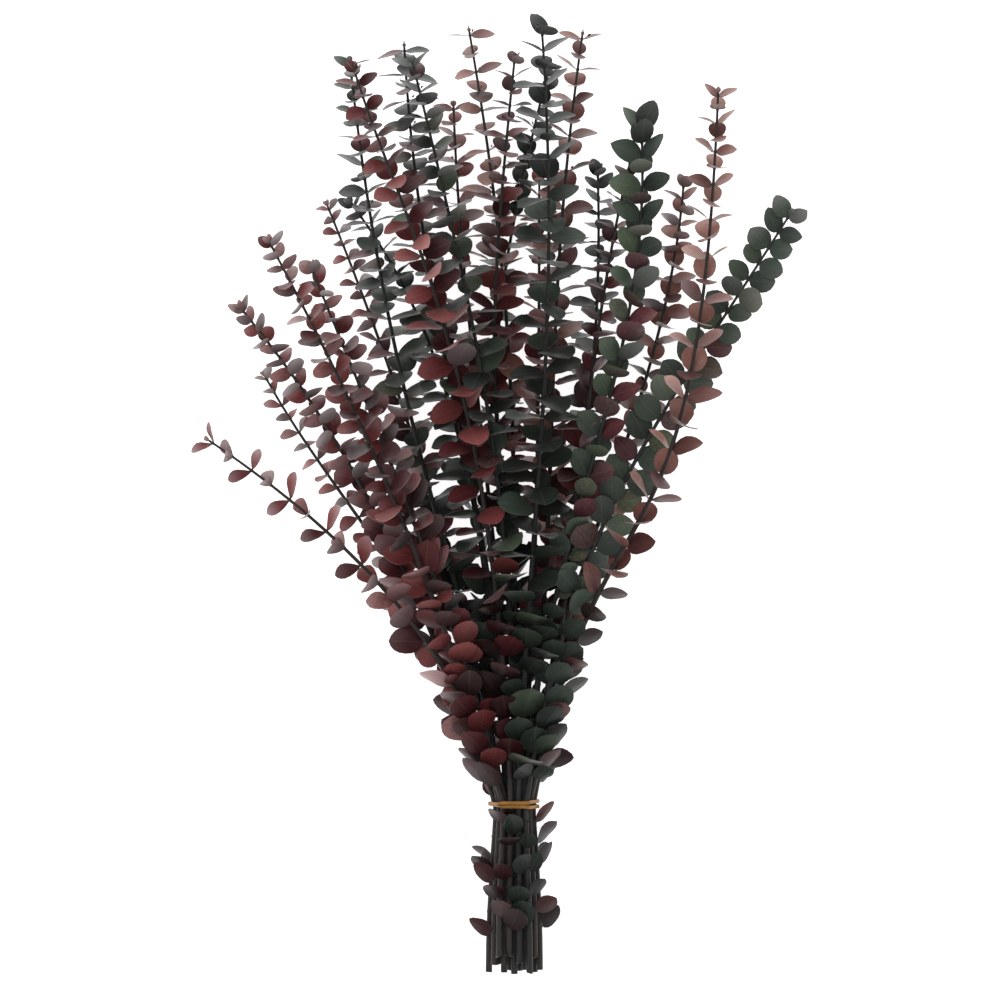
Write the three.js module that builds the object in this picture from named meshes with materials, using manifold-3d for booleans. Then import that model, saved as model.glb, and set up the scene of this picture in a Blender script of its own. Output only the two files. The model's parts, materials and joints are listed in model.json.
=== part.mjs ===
// A bunch of dried eucalyptus lying on a table: 24 leafy stems held by one rubber band.
// Millimetres. +Y runs from the cut feet to the tips, +Z is up, and the table is at z = 0.
import * as THREE from 'three';
import { mergeGeometries, mergeVertices } from 'three/addons/utils/BufferGeometryUtils.js';
import Module from 'manifold-3d';

const wasm = await Module();
wasm.setup();

// The tie and the cut feet
const TIE_X = 10;
const TIE_Y = -209.5;
const TIE_FLOOR = 8;            // axis height of the lowest row in the tie
const ROWS = [4, 5, 6, 5, 4];   // stems in each row of the tie, from the table up
const PITCH = 5.2;              // between neighbours in a row
const RISE = 4.75;              // between rows
const FOOT_Y = -320;
const FOOT_FLOOR = 1.9;
const FOOT_SPREAD = 1.35;       // the feet stand this much wider than the tie
const FOOT_RISE = 1.2;
const FOOT_STEP = 7;            // the feet are cut unevenly by this much
const UNEVEN = [5.3, 2.1];      // how the cut changes with the place and the row
const TIE_EASE = 6;             // how soon a stem turns from its lean in the tie towards its foot
const FOOT_EASE = 60;

// The head
const TIP_LIFT = 0.12;          // how much a tip climbs as it runs out
const ROUTE_STEPS = [48, 8];    // points along an axis above and below the tie
const STEM_TIP_RADIUS = 0.8;
const STEM_FOOT_RADIUS = 2.3;
const CORNER = 1.2;             // corner of the four-sided stem against its round radius

// The leaves
const LEAF_GROWTH = 210;        // how far down the stem a leaf reaches full size
const GROWTH_POWER = 0.8;
const SIZE_SPREAD = 0.24;       // share of the size by which leaves differ
const SIZE_BELOW = 0.82;        // the old leaves below the tie are this much smaller
const TURN_SPREAD = 24;         // degrees round the stem
const LIFT_SPREAD = 32;         // degrees along it
const ROLL_SPREAD = 40;         // degrees round the leaf's own midrib
const FIRST_PAIR = 3;           // below the very tip
const BARE_FOOT = 20;           // no leaf starts this close to the cut
const BARE_TIE = 5;
const LOST_BELOW = 0.65;        // share of the leaves lost below the tie
const LOST_ABOVE = 0.35;         // and the most that are lost above it
const CROWD = 150;              // leaves this near the tie are pressed outward
const FULL_CROWD = 1.25;        // above one, so that the press is full for a stretch
const CROWD_BELOW = 0.9;        // the press below the tie
const CROWD_LIFT = 58;
const CROWD_TURN = 0.4;         // share of its turn that a pressed leaf gives up
const CROWD_FACE = 0.7;         // how far a pressed leaf lies against the bundle
const CROWD_OUT = 0.5;          // how far its face looks away from the bundle, not up
const CROWD_CALM = 8;           // degrees by which pressed leaves differ less
const YOUNG = 30;               // the last pairs close round the bud over this length
const MAIN_STEP = 3;            // every third pair is built
const BLADE = 0.7;              // thickness
const ROOT = 0.9;               // height of a blade's root on the stem
const BEND_REACH = 80;          // how far from the tie a stem has closer sections
const BEND_STEP = 18;
const STEEPEST = 66;            // most that a leaf points along its stem, in degrees
const MOST_BACKWARD = 60;       // most that it points back towards the foot
const SHARED_NODE = 45;         // least angle between the two leaves of a pair, in degrees
const SHARED_SIZE = 0.75;       // and the share of their size that has to stay apart
const TABLE = [1000, 1000, 50];
const TABLE_BITE = 1.5;         // a leaf rim may press this far into the table, and is flat there
const GAP = 0.6;                // between a leaf and another it passes
const STEM_GAP = 1.1;           // between a leaf and a stem or the band
const FLAT_GAP = 1.5;           // between leaves that lie almost parallel
const ALMOST_PARALLEL = 0.2;    // sine of the angle between two such leaves
const CLEAR = 0.3;              // least room between two stems' solids
const SPECK = 0.001;            // a crossing of less volume than this is only a touch
const BALL_STEP = 4;            // a stem is tested as balls this far apart
const BAND_BALL = 1.3;          // and the band as balls of this radius

// The outline of a round leaf with a short point, in half lengths; its first side is the root
const LEAF_OUTLINE = [[-0.1, 0], [0.1, 0], [0.86, 0.48], [0.86, 1.38], [0, 2.02], [-0.86, 1.38],
  [-0.86, 0.48]];
const LEAF_CUP = 0.14;          // the sides rise by this share of the half length
const LEAF_DROOP = 0.12;        // and the point falls by this share
const ROLL_FROM = 0.45;         // nearer its root than this a blade isn't rolled

// The ways a leaf may give way to what is already there: degrees round the stem and upward
const GIVING_WAY = [[0, 0], [18, 0], [-18, 0], [0, 18], [0, -18], [20, 20], [-20, 20], [36, 0], [-36, 0],
  [0, 36], [28, 36], [-28, 36], [0, 52], [40, 48], [-40, 48], [0, -36], [50, 20], [-50, 20]];
const SHORTER = [1, 0.78];

// The rubber band
const BAND_SEAT = 3.07;         // from a stem's axis to the band's inner face, as the stems spread
const BAND_THICK = 1.2;
const BAND_WIDE = 2.4;
const BAND_SLOPE = 1.9;         // half the distance between the two turns where they lie side by side
const BAND_CROSS = 0.85;        // half the distance where one turn rides over the other
const BAND_STEPS = 40;

const DYES = {
  wine: { color: '#5a3038', roughness: 0.62 },
  claret: { color: '#7b3a36', roughness: 0.58 },
  green: { color: '#34463d', roughness: 0.6 },
  russet: { color: '#8f6258', roughness: 0.64 },
};

// row and place: where the stem lies in the tie. tip: where it ends.
// lean: degrees to the left at the tie and at the tip. ease: how long it keeps each.
// leaf: half its length at the tip and full grown, and how wide it is for its length at the tip.
// gap: between pairs at the tip and where they are full grown.
// turn: of the first pair, and from each pair to the next. tilt: how far the pairs point to the tip.
// nod: degrees by which they turn their faces up. shut: how far the last ones close round the bud.
// face: how far the blades lie flat to the table.
const STEMS = [
  { row: 4, place: 0, tip: [-154, 172, 110], lean: [17, 28], ease: [0.4, 0.3],
    dye: 'wine', leaf: [5.4, 10, 1], gap: [8.5, 13], turn: [60, 90],
    tilt: 20, nod: 15, shut: 30, face: 0.3 },
  { row: 4, place: 1, tip: [-98, 289, 110], lean: [2, 17], ease: [0.6, 0.22],
    dye: 'claret', leaf: [5.5, 11.2, 1], gap: [8.5, 14.5], turn: [10, 90],
    tilt: 10, nod: 15, shut: 20, face: 0.3 },
  { row: 4, place: 2, tip: [28, 314, 110], lean: [-2, 4], ease: [0.4, 0.4],
    dye: 'green', leaf: [8.4, 12, 1], gap: [11, 16], turn: [20, 90],
    tilt: 15, nod: 15, shut: 20, face: 0.12 },
  { row: 4, place: 3, tip: [197, 194, 62], lean: [-9, -32], ease: [0.45, 0.4],
    dye: 'green', leaf: [7.4, 9.8, 1], gap: [12, 16.5], turn: [90, 180],
    tilt: 30, nod: 0, shut: 20, face: 0.85 },
  { row: 3, place: 0, tip: [-196, 40, 86], lean: [12, 56], ease: [0.35, 0.3],
    dye: 'wine', leaf: [7.4, 10.6, 0.6], gap: [16, 18], turn: [80, 90],
    tilt: 30, nod: 0, shut: 20, face: 0.5 },
  { row: 3, place: 1, tip: [-127, 156, 86], lean: [15, 22], ease: [0.35, 0.3],
    dye: 'wine', leaf: [5.4, 10, 1], gap: [8.5, 13], turn: [30, 90],
    tilt: 20, nod: 15, shut: 30, face: 0.35 },
  { row: 3, place: 2, tip: [-59, 295, 86], lean: [0, 14], ease: [0.4, 0.4],
    dye: 'green', leaf: [6.5, 11, 1], gap: [8.5, 14.5], turn: [60, 90],
    tilt: 15, nod: 15, shut: 20, face: 0.12 },
  { row: 3, place: 3, tip: [95, 253, 86], lean: [-4, 4], ease: [0.4, 0.35],
    dye: 'green', leaf: [9.2, 9, 1], gap: [9.5, 14.5], turn: [90, 90],
    tilt: 45, nod: 0, shut: 15, face: 0.6 },
  { row: 3, place: 4, tip: [146, 273, 106], lean: [-12, -2], ease: [0.5, 0.7],
    dye: 'russet', leaf: [5.6, 10, 1], gap: [8.5, 19], turn: [90, 90],
    tilt: 30, nod: 25, shut: 10, face: 0.2 },
  { row: 2, place: 0, tip: [-176, 130, 62], lean: [19, 40], ease: [0.4, 0.3],
    dye: 'wine', leaf: [5.4, 10, 1], gap: [8.5, 13], turn: [50, 90],
    tilt: 30, nod: 10, shut: 30, face: 0.3 },
  { row: 2, place: 1, tip: [-102, 298, 62], lean: [8, 6], ease: [0.3, 0.5],
    dye: 'green', leaf: [5.5, 10.8, 1], gap: [7.7, 13], turn: [75, 90],
    tilt: 15, nod: 15, shut: 10, face: 0.12 },
  { row: 2, place: 2, tip: [-65, 308, 62], lean: [2, 3], ease: [0.4, 0.4],
    dye: 'green', leaf: [8, 11, 1], gap: [8, 13.8], turn: [90, 90],
    tilt: 5, nod: 18, shut: 0, face: 0.12 },
  { row: 2, place: 3, tip: [10, 300, 62], lean: [2, -6], ease: [0.6, 0.5],
    dye: 'claret', leaf: [5.2, 10.8, 1], gap: [9.5, 14], turn: [20, 90],
    tilt: 20, nod: 15, shut: 20, face: 0.12 },
  { row: 2, place: 4, tip: [56, 316, 62], lean: [-7, -8], ease: [0.4, 0.4],
    dye: 'russet', leaf: [6, 11, 1], gap: [10.2, 16], turn: [90, 90],
    tilt: 20, nod: 22, shut: 0, face: 0.12 },
  { row: 2, place: 5, tip: [89, 232, 62], lean: [-11, -14], ease: [0.35, 0.3],
    dye: 'claret', leaf: [4.5, 10.6, 1], gap: [8.5, 14.5], turn: [30, 90],
    tilt: 20, nod: 15, shut: 30, face: 0.12 },
  { row: 1, place: 0, tip: [-161, 85, 38], lean: [9, 28], ease: [0.35, 0.3],
    dye: 'wine', leaf: [4.8, 10, 0.7], gap: [10.2, 15], turn: [60, 90],
    tilt: 20, nod: 0, shut: 20, face: 0.4 },
  { row: 1, place: 1, tip: [-102, 203, 38], lean: [4, 38], ease: [0.4, 0.3],
    dye: 'green', leaf: [5.5, 10.8, 1], gap: [8.5, 14.5], turn: [60, 90],
    tilt: 20, nod: 15, shut: 30, face: 0.12 },
  { row: 1, place: 2, tip: [-21, 321, 38], lean: [0, 10], ease: [0.4, 0.4],
    dye: 'russet', leaf: [6.5, 11, 1], gap: [12.5, 17], turn: [90, 90],
    tilt: 6, nod: 20, shut: 0, face: 0.12 },
  { row: 1, place: 3, tip: [27, 220, 38], lean: [-4, 0], ease: [0.4, 0.3],
    dye: 'wine', leaf: [5.5, 11, 1], gap: [8.5, 14.5], turn: [10, 90],
    tilt: 15, nod: 15, shut: 30, face: 0.12 },
  { row: 1, place: 4, tip: [67, 225, 38], lean: [-9, 2], ease: [0.4, 0.35],
    dye: 'green', leaf: [5.5, 11, 1], gap: [8.5, 14.5], turn: [30, 90],
    tilt: 20, nod: 15, shut: 30, face: 0.12 },
  { row: 0, place: 0, tip: [-119, 203, 14], lean: [9, 22], ease: [0.35, 0.3],
    dye: 'wine', leaf: [4.8, 10, 0.7], gap: [8.5, 14], turn: [60, 90],
    tilt: 20, nod: 0, shut: 20, face: 0.4 },
  { row: 0, place: 1, tip: [-32, 272, 14], lean: [2, 2], ease: [0.45, 0.35],
    dye: 'wine', leaf: [5.5, 11, 1], gap: [8.5, 14.5], turn: [70, 90],
    tilt: 15, nod: 15, shut: 10, face: 0.12 },
  { row: 0, place: 2, tip: [33, 295, 14], lean: [1, -14], ease: [0.6, 0.5],
    dye: 'green', leaf: [6, 11, 1], gap: [8.5, 14.5], turn: [40, 90],
    tilt: 15, nod: 15, shut: 20, face: 0.12 },
  { row: 0, place: 3, tip: [127, 219, 14], lean: [-7, -4], ease: [0.35, 0.35],
    dye: 'russet', leaf: [5.5, 10.6, 1], gap: [8.5, 14.5], turn: [20, 90],
    tilt: 20, nod: 15, shut: 20, face: 0.25 },
];

const radians = THREE.MathUtils.degToRad;
const vector = (x, y, z) => new THREE.Vector3(x, y, z);
const along = (point, direction, distance) => point.clone().addScaledVector(direction, distance);
const UP = vector(0, 0, 1);

// Where the stem lies across the tie, from its middle
const across = (stem) => (stem.place - (ROWS[stem.row] - 1) / 2) * PITCH;
const tiePoint = (stem) => vector(TIE_X + across(stem), TIE_Y, TIE_FLOOR + stem.row * RISE);

// The stem's axis as points from the tip down to the foot
function axisPoints(stem) {
  const tie = tiePoint(stem);
  const tip = vector(...stem.tip);
  const uneven = FOOT_STEP * Math.sin(UNEVEN[0] * stem.place + UNEVEN[1] * stem.row);
  const foot = vector(TIE_X + across(stem) * FOOT_SPREAD, FOOT_Y + uneven,
    FOOT_FLOOR + stem.row * RISE * FOOT_RISE);
  const [start, end] = stem.lean.map(radians);
  const outOfTie = vector(-Math.sin(start), Math.cos(start), 0);
  const outOfTip = vector(-Math.sin(end), Math.cos(end), TIP_LIFT);
  const reach = tie.distanceTo(tip);
  const upper = new THREE.CubicBezierCurve3(tip, along(tip, outOfTip, -stem.ease[1] * reach),
    along(tie, outOfTie, stem.ease[0] * reach), tie);
  const lower = new THREE.CubicBezierCurve3(tie, along(tie, outOfTie, -TIE_EASE),
    along(foot, vector(0, 1, 0), FOOT_EASE), foot);
  const [upperSteps, lowerSteps] = ROUTE_STEPS;
  return [...upper.getPoints(upperSteps), ...lower.getPoints(lowerSteps).slice(1)];
}

// A run of points with the distance of each from the tip
function route(points) {
  const distances = [0];
  for (let i = 1; i < points.length; i += 1) {
    distances.push(distances[i - 1] + points[i].distanceTo(points[i - 1]));
  }
  return { points, distances, length: distances[points.length - 1] };
}

// The place on a route at a distance from the tip, and the direction towards the tip
function placeOn(line, distance) {
  let i = 1;
  while (i < line.points.length - 1 && line.distances[i] <= distance) i += 1;
  const share = (distance - line.distances[i - 1]) / (line.distances[i] - line.distances[i - 1]);
  return {
    point: line.points[i - 1].clone().lerp(line.points[i], share),
    towardsTip: line.points[i - 1].clone().sub(line.points[i]).normalize(),
  };
}

const stemRadius = (line, distance) =>
  STEM_TIP_RADIUS + (STEM_FOOT_RADIUS - STEM_TIP_RADIUS) * distance / line.length;

// Two directions across the stem: one as near straight up as can be, and one beside it
function acrossStem(towardsTip) {
  const up = along(UP, towardsTip, -towardsTip.z).normalize();
  return { up, beside: towardsTip.clone().cross(up) };
}

// Draws between 0 and 1 that belong to one leaf, the same on every run
function leafDraws(stemIndex, pair, side) {
  let state = (stemIndex * 7919 + pair * 104729 + side * 1299709 + 12345) % 4294967296;
  const draw = () => {
    state = (1664525 * state + 1013904223) % 4294967296;
    return state / 4294967296;
  };
  return Array.from({ length: 8 }, draw).slice(3);
}

// Where the pairs of a stem grow, from the tip down
function pairsOf(stem, line) {
  const [tipGap, fullGap] = stem.gap;
  const pairs = [];
  let distance = FIRST_PAIR;
  for (let pair = 0; ; pair += 1) {
    const place = placeOn(line, distance);
    if (place.point.y < FOOT_Y + BARE_FOOT) return pairs;
    pairs.push({ pair, distance, ...place });
    const grown = Math.min(1, distance / LEAF_GROWTH);
    distance += tipGap + (fullGap - tipGap) * grown;
  }
}

// What a leaf would like to be before it meets its neighbours
function leafWish(stem, stemIndex, at, side, line) {
  const draws = leafDraws(stemIndex, at.pair, side);
  const below = at.point.y < TIE_Y;
  const grown = Math.min(1, at.distance / LEAF_GROWTH);
  const nearTie = Math.min(1, Math.max(0, FULL_CROWD - Math.abs(at.point.y - TIE_Y) / CROWD));
  const crowd = below ? CROWD_BELOW : nearTie;
  const { up, beside } = acrossStem(at.towardsTip);
  const outAngle = Math.atan2(across(stem), (stem.row - 2) * RISE) / radians(1);
  const [firstTurn, turnStep] = stem.turn;
  const free = firstTurn + turnStep * at.pair + 180 * side + (draws[1] - 0.5) * TURN_SPREAD;
  const away = (((free - outAngle + 540) % 360) + 360) % 360 - 180;
  const turn = outAngle + away * (1 - CROWD_TURN * crowd);
  const young = stem.shut * Math.max(0, 1 - at.distance / YOUNG);
  const outward = along(up.clone().multiplyScalar(Math.cos(radians(outAngle))), beside,
    Math.sin(radians(outAngle)));
  const [tipHalf, fullHalf, tipWide] = stem.leaf;
  const pressed = CROWD_OUT * crowd;
  const usualHalf = (tipHalf + (fullHalf - tipHalf) * grown ** GROWTH_POWER) * (below ? SIZE_BELOW : 1);
  const freeLift = stem.tilt + young - stem.nod * Math.cos(radians(turn));
  const usualLift = freeLift * (1 - crowd) + CROWD_LIFT * crowd;
  return {
    missing: draws[4] < (below ? LOST_BELOW : LOST_ABOVE * crowd),
    half: usualHalf * (1 + SIZE_SPREAD * (draws[0] - 0.5)),
    turn,
    lift: usualLift + (draws[2] - 0.5) * (LIFT_SPREAD - CROWD_CALM * crowd),
    roll: radians((draws[3] - 0.5) * ROLL_SPREAD),
    face: stem.face * (1 - crowd) + CROWD_FACE * crowd,
    facing: along(outward.multiplyScalar(pressed), UP, 1 - pressed).normalize(),
    wide: tipWide + (1 - tipWide) * grown ** 2,
    surface: stemRadius(line, at.distance),
    up,
    beside,
  };
}

// The leaf as a thin disc: where it starts, its middle, the way it points and its flat side
function leafDisc(wish, at, giveTurn, giveLift, shorter) {
  const turn = radians(wish.turn + giveTurn);
  const lift = radians(Math.max(-MOST_BACKWARD, Math.min(STEEPEST, wish.lift + giveLift)));
  const outOfStem = along(wish.up.clone().multiplyScalar(Math.cos(turn)), wish.beside, Math.sin(turn));
  const points = along(outOfStem.clone().multiplyScalar(Math.cos(lift)), at.towardsTip, Math.sin(lift));
  const level = along(at.towardsTip.clone().multiplyScalar(Math.cos(lift)), outOfStem, -Math.sin(lift));
  const beside = points.clone().cross(level);
  const height = level.dot(wish.facing);
  const lean = height > 0 ? Math.atan2(beside.dot(wish.facing), height)
    : Math.atan2(-beside.dot(wish.facing), -height);
  const roll = wish.roll + wish.face * lean;
  const flat = along(level.clone().multiplyScalar(Math.cos(roll)), beside, Math.sin(roll));
  const half = wish.half * shorter;
  const start = along(at.point, outOfStem, wish.surface);
  return { start, middle: along(start, points, half), points, level, flat, half, roll, turn };
}

// Whether two discs pass through each other or lie too close
function discsTouch(one, other, share) {
  const apart = other.middle.clone().sub(one.middle);
  const [oneHalf, otherHalf] = [one.half * share, other.half * share];
  if (apart.lengthSq() > (oneHalf + otherHalf + GAP) ** 2) return false;
  const crease = one.flat.clone().cross(other.flat);
  if (crease.length() < ALMOST_PARALLEL) {
    return Math.abs(apart.dot(one.flat)) < FLAT_GAP && Math.abs(apart.dot(other.flat)) < FLAT_GAP;
  }
  crease.normalize();
  const chord = (disc, half, partner) => {
    const inPlane = disc.flat.clone().cross(crease);
    const toPartner = partner.middle.clone().sub(disc.middle);
    const reach = toPartner.dot(partner.flat) / inPlane.dot(partner.flat);
    if (Math.abs(reach) >= half + GAP) return null;
    const halfChord = Math.sqrt((half + GAP) ** 2 - reach * reach);
    const middle = along(disc.middle, inPlane, reach).dot(crease);
    return [middle - halfChord, middle + halfChord];
  };
  const a = chord(one, oneHalf, other);
  const b = a && chord(other, otherHalf, one);
  return Boolean(a && b && a[0] < b[1] && b[0] < a[1]);
}

// Whether a disc meets a ball, one of those that stand for a length of stem or band
function discMeetsBall(disc, ball) {
  const apart = ball.point.clone().sub(disc.middle);
  const height = apart.dot(disc.flat);
  const reach = ball.radius + STEM_GAP;
  if (Math.abs(height) > reach) return false;
  const level = apart.lengthSq() - height * height;
  return level < (disc.half + Math.sqrt(reach * reach - height * height)) ** 2;
}

// The band's middle line: twice round the stems, one turn crossing over the other
function bandPoint(angle) {
  const outward = vector(Math.cos(angle), 0, Math.sin(angle));
  const outermost = STEMS.map(tiePoint).reduce((a, b) => (b.dot(outward) > a.dot(outward) ? b : a));
  const reach = BAND_SEAT + BAND_THICK / 2 + BAND_CROSS * (1 + Math.sin(angle / 2));
  const point = along(outermost, outward, reach);
  point.y += BAND_SLOPE * Math.cos(angle / 2);
  return { point, outward };
}

// Things near a point are found by the cell of space that they lie in
const CELL = 28;
const cellKey = (i, j, k) => `${i},${j},${k}`;
const cellOf = (point) => point.toArray().map((value) => Math.floor(value / CELL));
function store(cells, point, thing) {
  const key = cellKey(...cellOf(point));
  if (!cells.has(key)) cells.set(key, []);
  cells.get(key).push(thing);
}
function near(cells, point) {
  const [i, j, k] = cellOf(point);
  const found = [];
  for (let a = i - 1; a <= i + 1; a += 1) {
    for (let b = j - 1; b <= j + 1; b += 1) {
      for (let c = k - 1; c <= k + 1; c += 1) found.push(...(cells.get(cellKey(a, b, c)) ?? []));
    }
  }
  return found;
}

// Every main leaf of the bunch, each clear of the table, the band, the stems and the other leaves
function plannedLeaves(lines) {
  const balls = new Map();
  lines.forEach((line, stemIndex) => {
    for (let distance = 0; distance < line.length; distance += BALL_STEP) {
      const { point } = placeOn(line, distance);
      store(balls, point, { point, radius: CORNER * stemRadius(line, distance), stemIndex });
    }
  });
  for (let step = 0; step < BAND_STEPS; step += 1) {
    const { point } = bandPoint(4 * Math.PI * step / BAND_STEPS);
    store(balls, point, { point, radius: BAND_BALL, stemIndex: -1 });
  }
  const discs = new Map();
  const leaves = [];
  const fits = (disc, stemIndex, pair) => {
    const lowest = disc.middle.z - disc.half * Math.sqrt(Math.max(0, 1 - disc.flat.z ** 2));
    if (lowest < -TABLE_BITE) return false;
    const others = near(balls, disc.middle).filter((ball) => ball.stemIndex !== stemIndex);
    if (others.some((ball) => discMeetsBall(disc, ball))) return false;
    return !near(discs, disc.middle).some((other) => {
      const samePair = other.stemIndex === stemIndex && other.pair === pair;
      if (samePair && Math.cos(other.turn - disc.turn) > Math.cos(radians(SHARED_NODE))) return true;
      return discsTouch(disc, other, samePair ? SHARED_SIZE : 1);
    });
  };
  STEMS.forEach((stem, stemIndex) => {
    const line = lines[stemIndex];
    const pairs = pairsOf(stem, line).filter((at) => at.pair % MAIN_STEP === 0);
    for (const at of pairs.filter(({ point }) => Math.abs(point.y - TIE_Y) >= BARE_TIE)) {
      for (const side of [0, 1]) {
        const wish = leafWish(stem, stemIndex, at, side, line);
        if (wish.missing) continue;
        const ways = SHORTER.flatMap((shorter) => GIVING_WAY.map((give) => [...give, shorter]));
        const way = ways.find((give) => fits(leafDisc(wish, at, ...give), stemIndex, at.pair));
        if (!way) continue;
        const leaf = { ...leafDisc(wish, at, ...way), wide: wish.wide, stemIndex, pair: at.pair };
        store(discs, leaf.middle, leaf);
        leaves.push(leaf);
      }
    }
  });
  return leaves;
}

// A closed geometry as a solid that can be joined and cut, and back
function solidOf(geometry) {
  return new wasm.Manifold(new wasm.Mesh({
    numProp: 3,
    vertProperties: new Float32Array(geometry.attributes.position.array),
    triVerts: new Uint32Array(geometry.index.array),
  }));
}
function geometryOf(solid) {
  const mesh = solid.getMesh();
  const geometry = new THREE.BufferGeometry();
  geometry.setAttribute('position', new THREE.BufferAttribute(mesh.vertProperties, 3));
  geometry.setIndex(new THREE.BufferAttribute(mesh.triVerts, 1));
  geometry.computeVertexNormals();
  return geometry;
}

// A geometry with every vertex moved, and the vertices that then share a place merged
function moved(geometry, move) {
  const { position } = geometry.attributes;
  for (let i = 0; i < position.count; i += 1) {
    position.setXYZ(i, ...move(position.getX(i), position.getY(i), position.getZ(i)).toArray());
  }
  geometry.deleteAttribute('normal');
  geometry.deleteAttribute('uv');
  return mergeVertices(geometry, 1e-5);
}

const QUARTER = Math.PI / 2;

// A corner of the stem's section, the section turned by an angle round the stem
function cornerOf(line, distance, angle, corner) {
  const { point, towardsTip } = placeOn(line, distance);
  const { up, beside } = acrossStem(towardsTip);
  const turn = angle + QUARTER * (corner + 0.5);
  const radius = CORNER * stemRadius(line, distance);
  return along(along(point, up, radius * Math.cos(turn)), beside, radius * Math.sin(turn));
}

// Each pair's place on the stem, turned so that its leaves grow from two faces of the section
function nodesOf(stem, line, leaves) {
  let last = null;
  return pairsOf(stem, line).filter(({ pair }) => pair % MAIN_STEP === 0).map(({ pair, distance }) => {
    const own = leaves.filter((leaf) => leaf.pair === pair);
    const [first, second] = own.map((leaf) => leaf.turn);
    let angle = first ?? last ?? 0;
    let faces = [0];
    if (second !== undefined) {
      const between = Math.atan2(Math.sin(second - first), Math.cos(second - first));
      const quarters = Math.round(between / QUARTER);
      angle += (between - quarters * QUARTER) / 2;
      faces = [0, quarters];
    }
    const shift = last === null ? 0 : Math.round((last - angle) / QUARTER);
    angle += shift * QUARTER;
    last = angle;
    return { distance, angle, own, faces: faces.map((face) => face - shift) };
  });
}

// The sections of a stem from tip to foot: two at each pair, and more where it bends at the tie
function sectionsOf(line, nodes) {
  const sections = [{ distance: 0, angle: nodes[0].angle }];
  const reach = (next, steps) => {
    const last = sections[sections.length - 1];
    for (let step = 1; step <= steps; step += 1) {
      sections.push({
        distance: THREE.MathUtils.lerp(last.distance, next.distance, step / steps),
        angle: THREE.MathUtils.lerp(last.angle, next.angle, step / steps),
      });
    }
  };
  const stepsTo = (distance) => {
    const last = sections[sections.length - 1].distance;
    const middle = placeOn(line, (last + distance) / 2).point;
    return Math.abs(middle.y - TIE_Y) < BEND_REACH ? Math.ceil((distance - last) / BEND_STEP) : 1;
  };
  for (const { distance, angle } of nodes) {
    reach({ distance: distance - ROOT / 2, angle }, stepsTo(distance - ROOT / 2));
    reach({ distance: distance + ROOT / 2, angle }, 1);
  }
  const { angle } = sections[sections.length - 1];
  reach({ distance: line.length, angle }, stepsTo(line.length));
  return sections;
}

// The bare stem: a four-sided rod bent along its route and tapered
function stemGeometry(line, nodes) {
  const rings = sectionsOf(line, nodes);
  const steps = rings.length - 1;
  const rod = new THREE.CylinderGeometry(1, 1, steps, 4, steps);
  return moved(rod, (x, y, z) => {
    const { distance, angle } = rings[Math.round(steps / 2 - y)];
    if (Math.hypot(x, z) < 0.5) return placeOn(line, distance).point;
    return cornerOf(line, distance, angle, Math.round(Math.atan2(x, z) / QUARTER));
  });
}

// One blade, rooted on one face of its stem's section
function bladeGeometry(leaf, width, line, node, face) {
  const outline = new THREE.Shape(LEAF_OUTLINE.map(([x, y]) => new THREE.Vector2(x, y)));
  const sheet = new THREE.ExtrudeGeometry(outline, { depth: 1, bevelEnabled: false });
  const level = leaf.points.clone().cross(leaf.level);
  return moved(sheet, (x, y, z) => {
    if (y === 0) {
      const distance = node.distance + (z < 0.5 ? ROOT / 2 : -ROOT / 2);
      return cornerOf(line, distance, node.angle, x > 0 ? face - 1 : face);
    }
    const roll = leaf.roll * THREE.MathUtils.clamp((y - ROLL_FROM) / (1 - ROLL_FROM), 0, 1);
    const beside = along(level.clone().multiplyScalar(Math.cos(roll)), leaf.level, -Math.sin(roll));
    const flat = along(leaf.level.clone().multiplyScalar(Math.cos(roll)), level, Math.sin(roll));
    const cup = LEAF_CUP * x * x * Math.min(1, y);
    const rise = (z - 0.5) * BLADE + leaf.half * (cup - LEAF_DROOP * (y / 2) ** 2);
    return along(along(along(leaf.start, leaf.points, y * leaf.half), beside, x * leaf.half * width),
      flat, rise);
  });
}

// A stem and its blades made one closed body: where a root meets its face, both are opened
function fused(stem, blades) {
  const whole = mergeVertices(mergeGeometries([stem, ...blades.map(({ geometry }) => geometry)]), 1e-5);
  const { position } = whole.attributes;
  const key = (x, y, z) => [x, y, z].map((value) => Math.fround(value).toFixed(3)).join();
  const rootsAt = new Map();
  blades.forEach(({ root }, index) => root.forEach((corner) => {
    const at = key(corner.x, corner.y, corner.z);
    rootsAt.set(at, [...(rootsAt.get(at) ?? []), index]);
  }));
  const roots = Array.from({ length: position.count },
    (_, i) => rootsAt.get(key(position.getX(i), position.getY(i), position.getZ(i))) ?? []);
  const kept = [];
  for (let i = 0; i < whole.index.count; i += 3) {
    const [a, b, c] = [0, 1, 2].map((k) => whole.index.getX(i + k));
    const opened = roots[a].some((root) => roots[b].includes(root) && roots[c].includes(root));
    if (!opened) kept.push(a, b, c);
  }
  whole.setIndex(kept);
  return whole;
}

// The rubber band: a closed flat strip, wound twice
function bandGeometry() {
  const [w, t] = [BAND_WIDE / 2, BAND_THICK / 2];
  const middle = 10;
  const section = [[-t, -w], [t, -w], [t, w], [-t, w], [-t, -w]];
  const ring = new THREE.LatheGeometry(section.map(([x, y]) => new THREE.Vector2(middle + x, y)), BAND_STEPS);
  return moved(ring, (x, y, z) => {
    const turn = (Math.atan2(x, z) + 2 * Math.PI) % (2 * Math.PI);
    const nearest = Math.round(turn / (2 * Math.PI) * BAND_STEPS) % BAND_STEPS;
    const { point, outward } = bandPoint(-4 * Math.PI * nearest / BAND_STEPS);
    return along(along(point, outward, Math.hypot(x, z) - middle), vector(0, 1, 0), y);
  });
}

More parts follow.
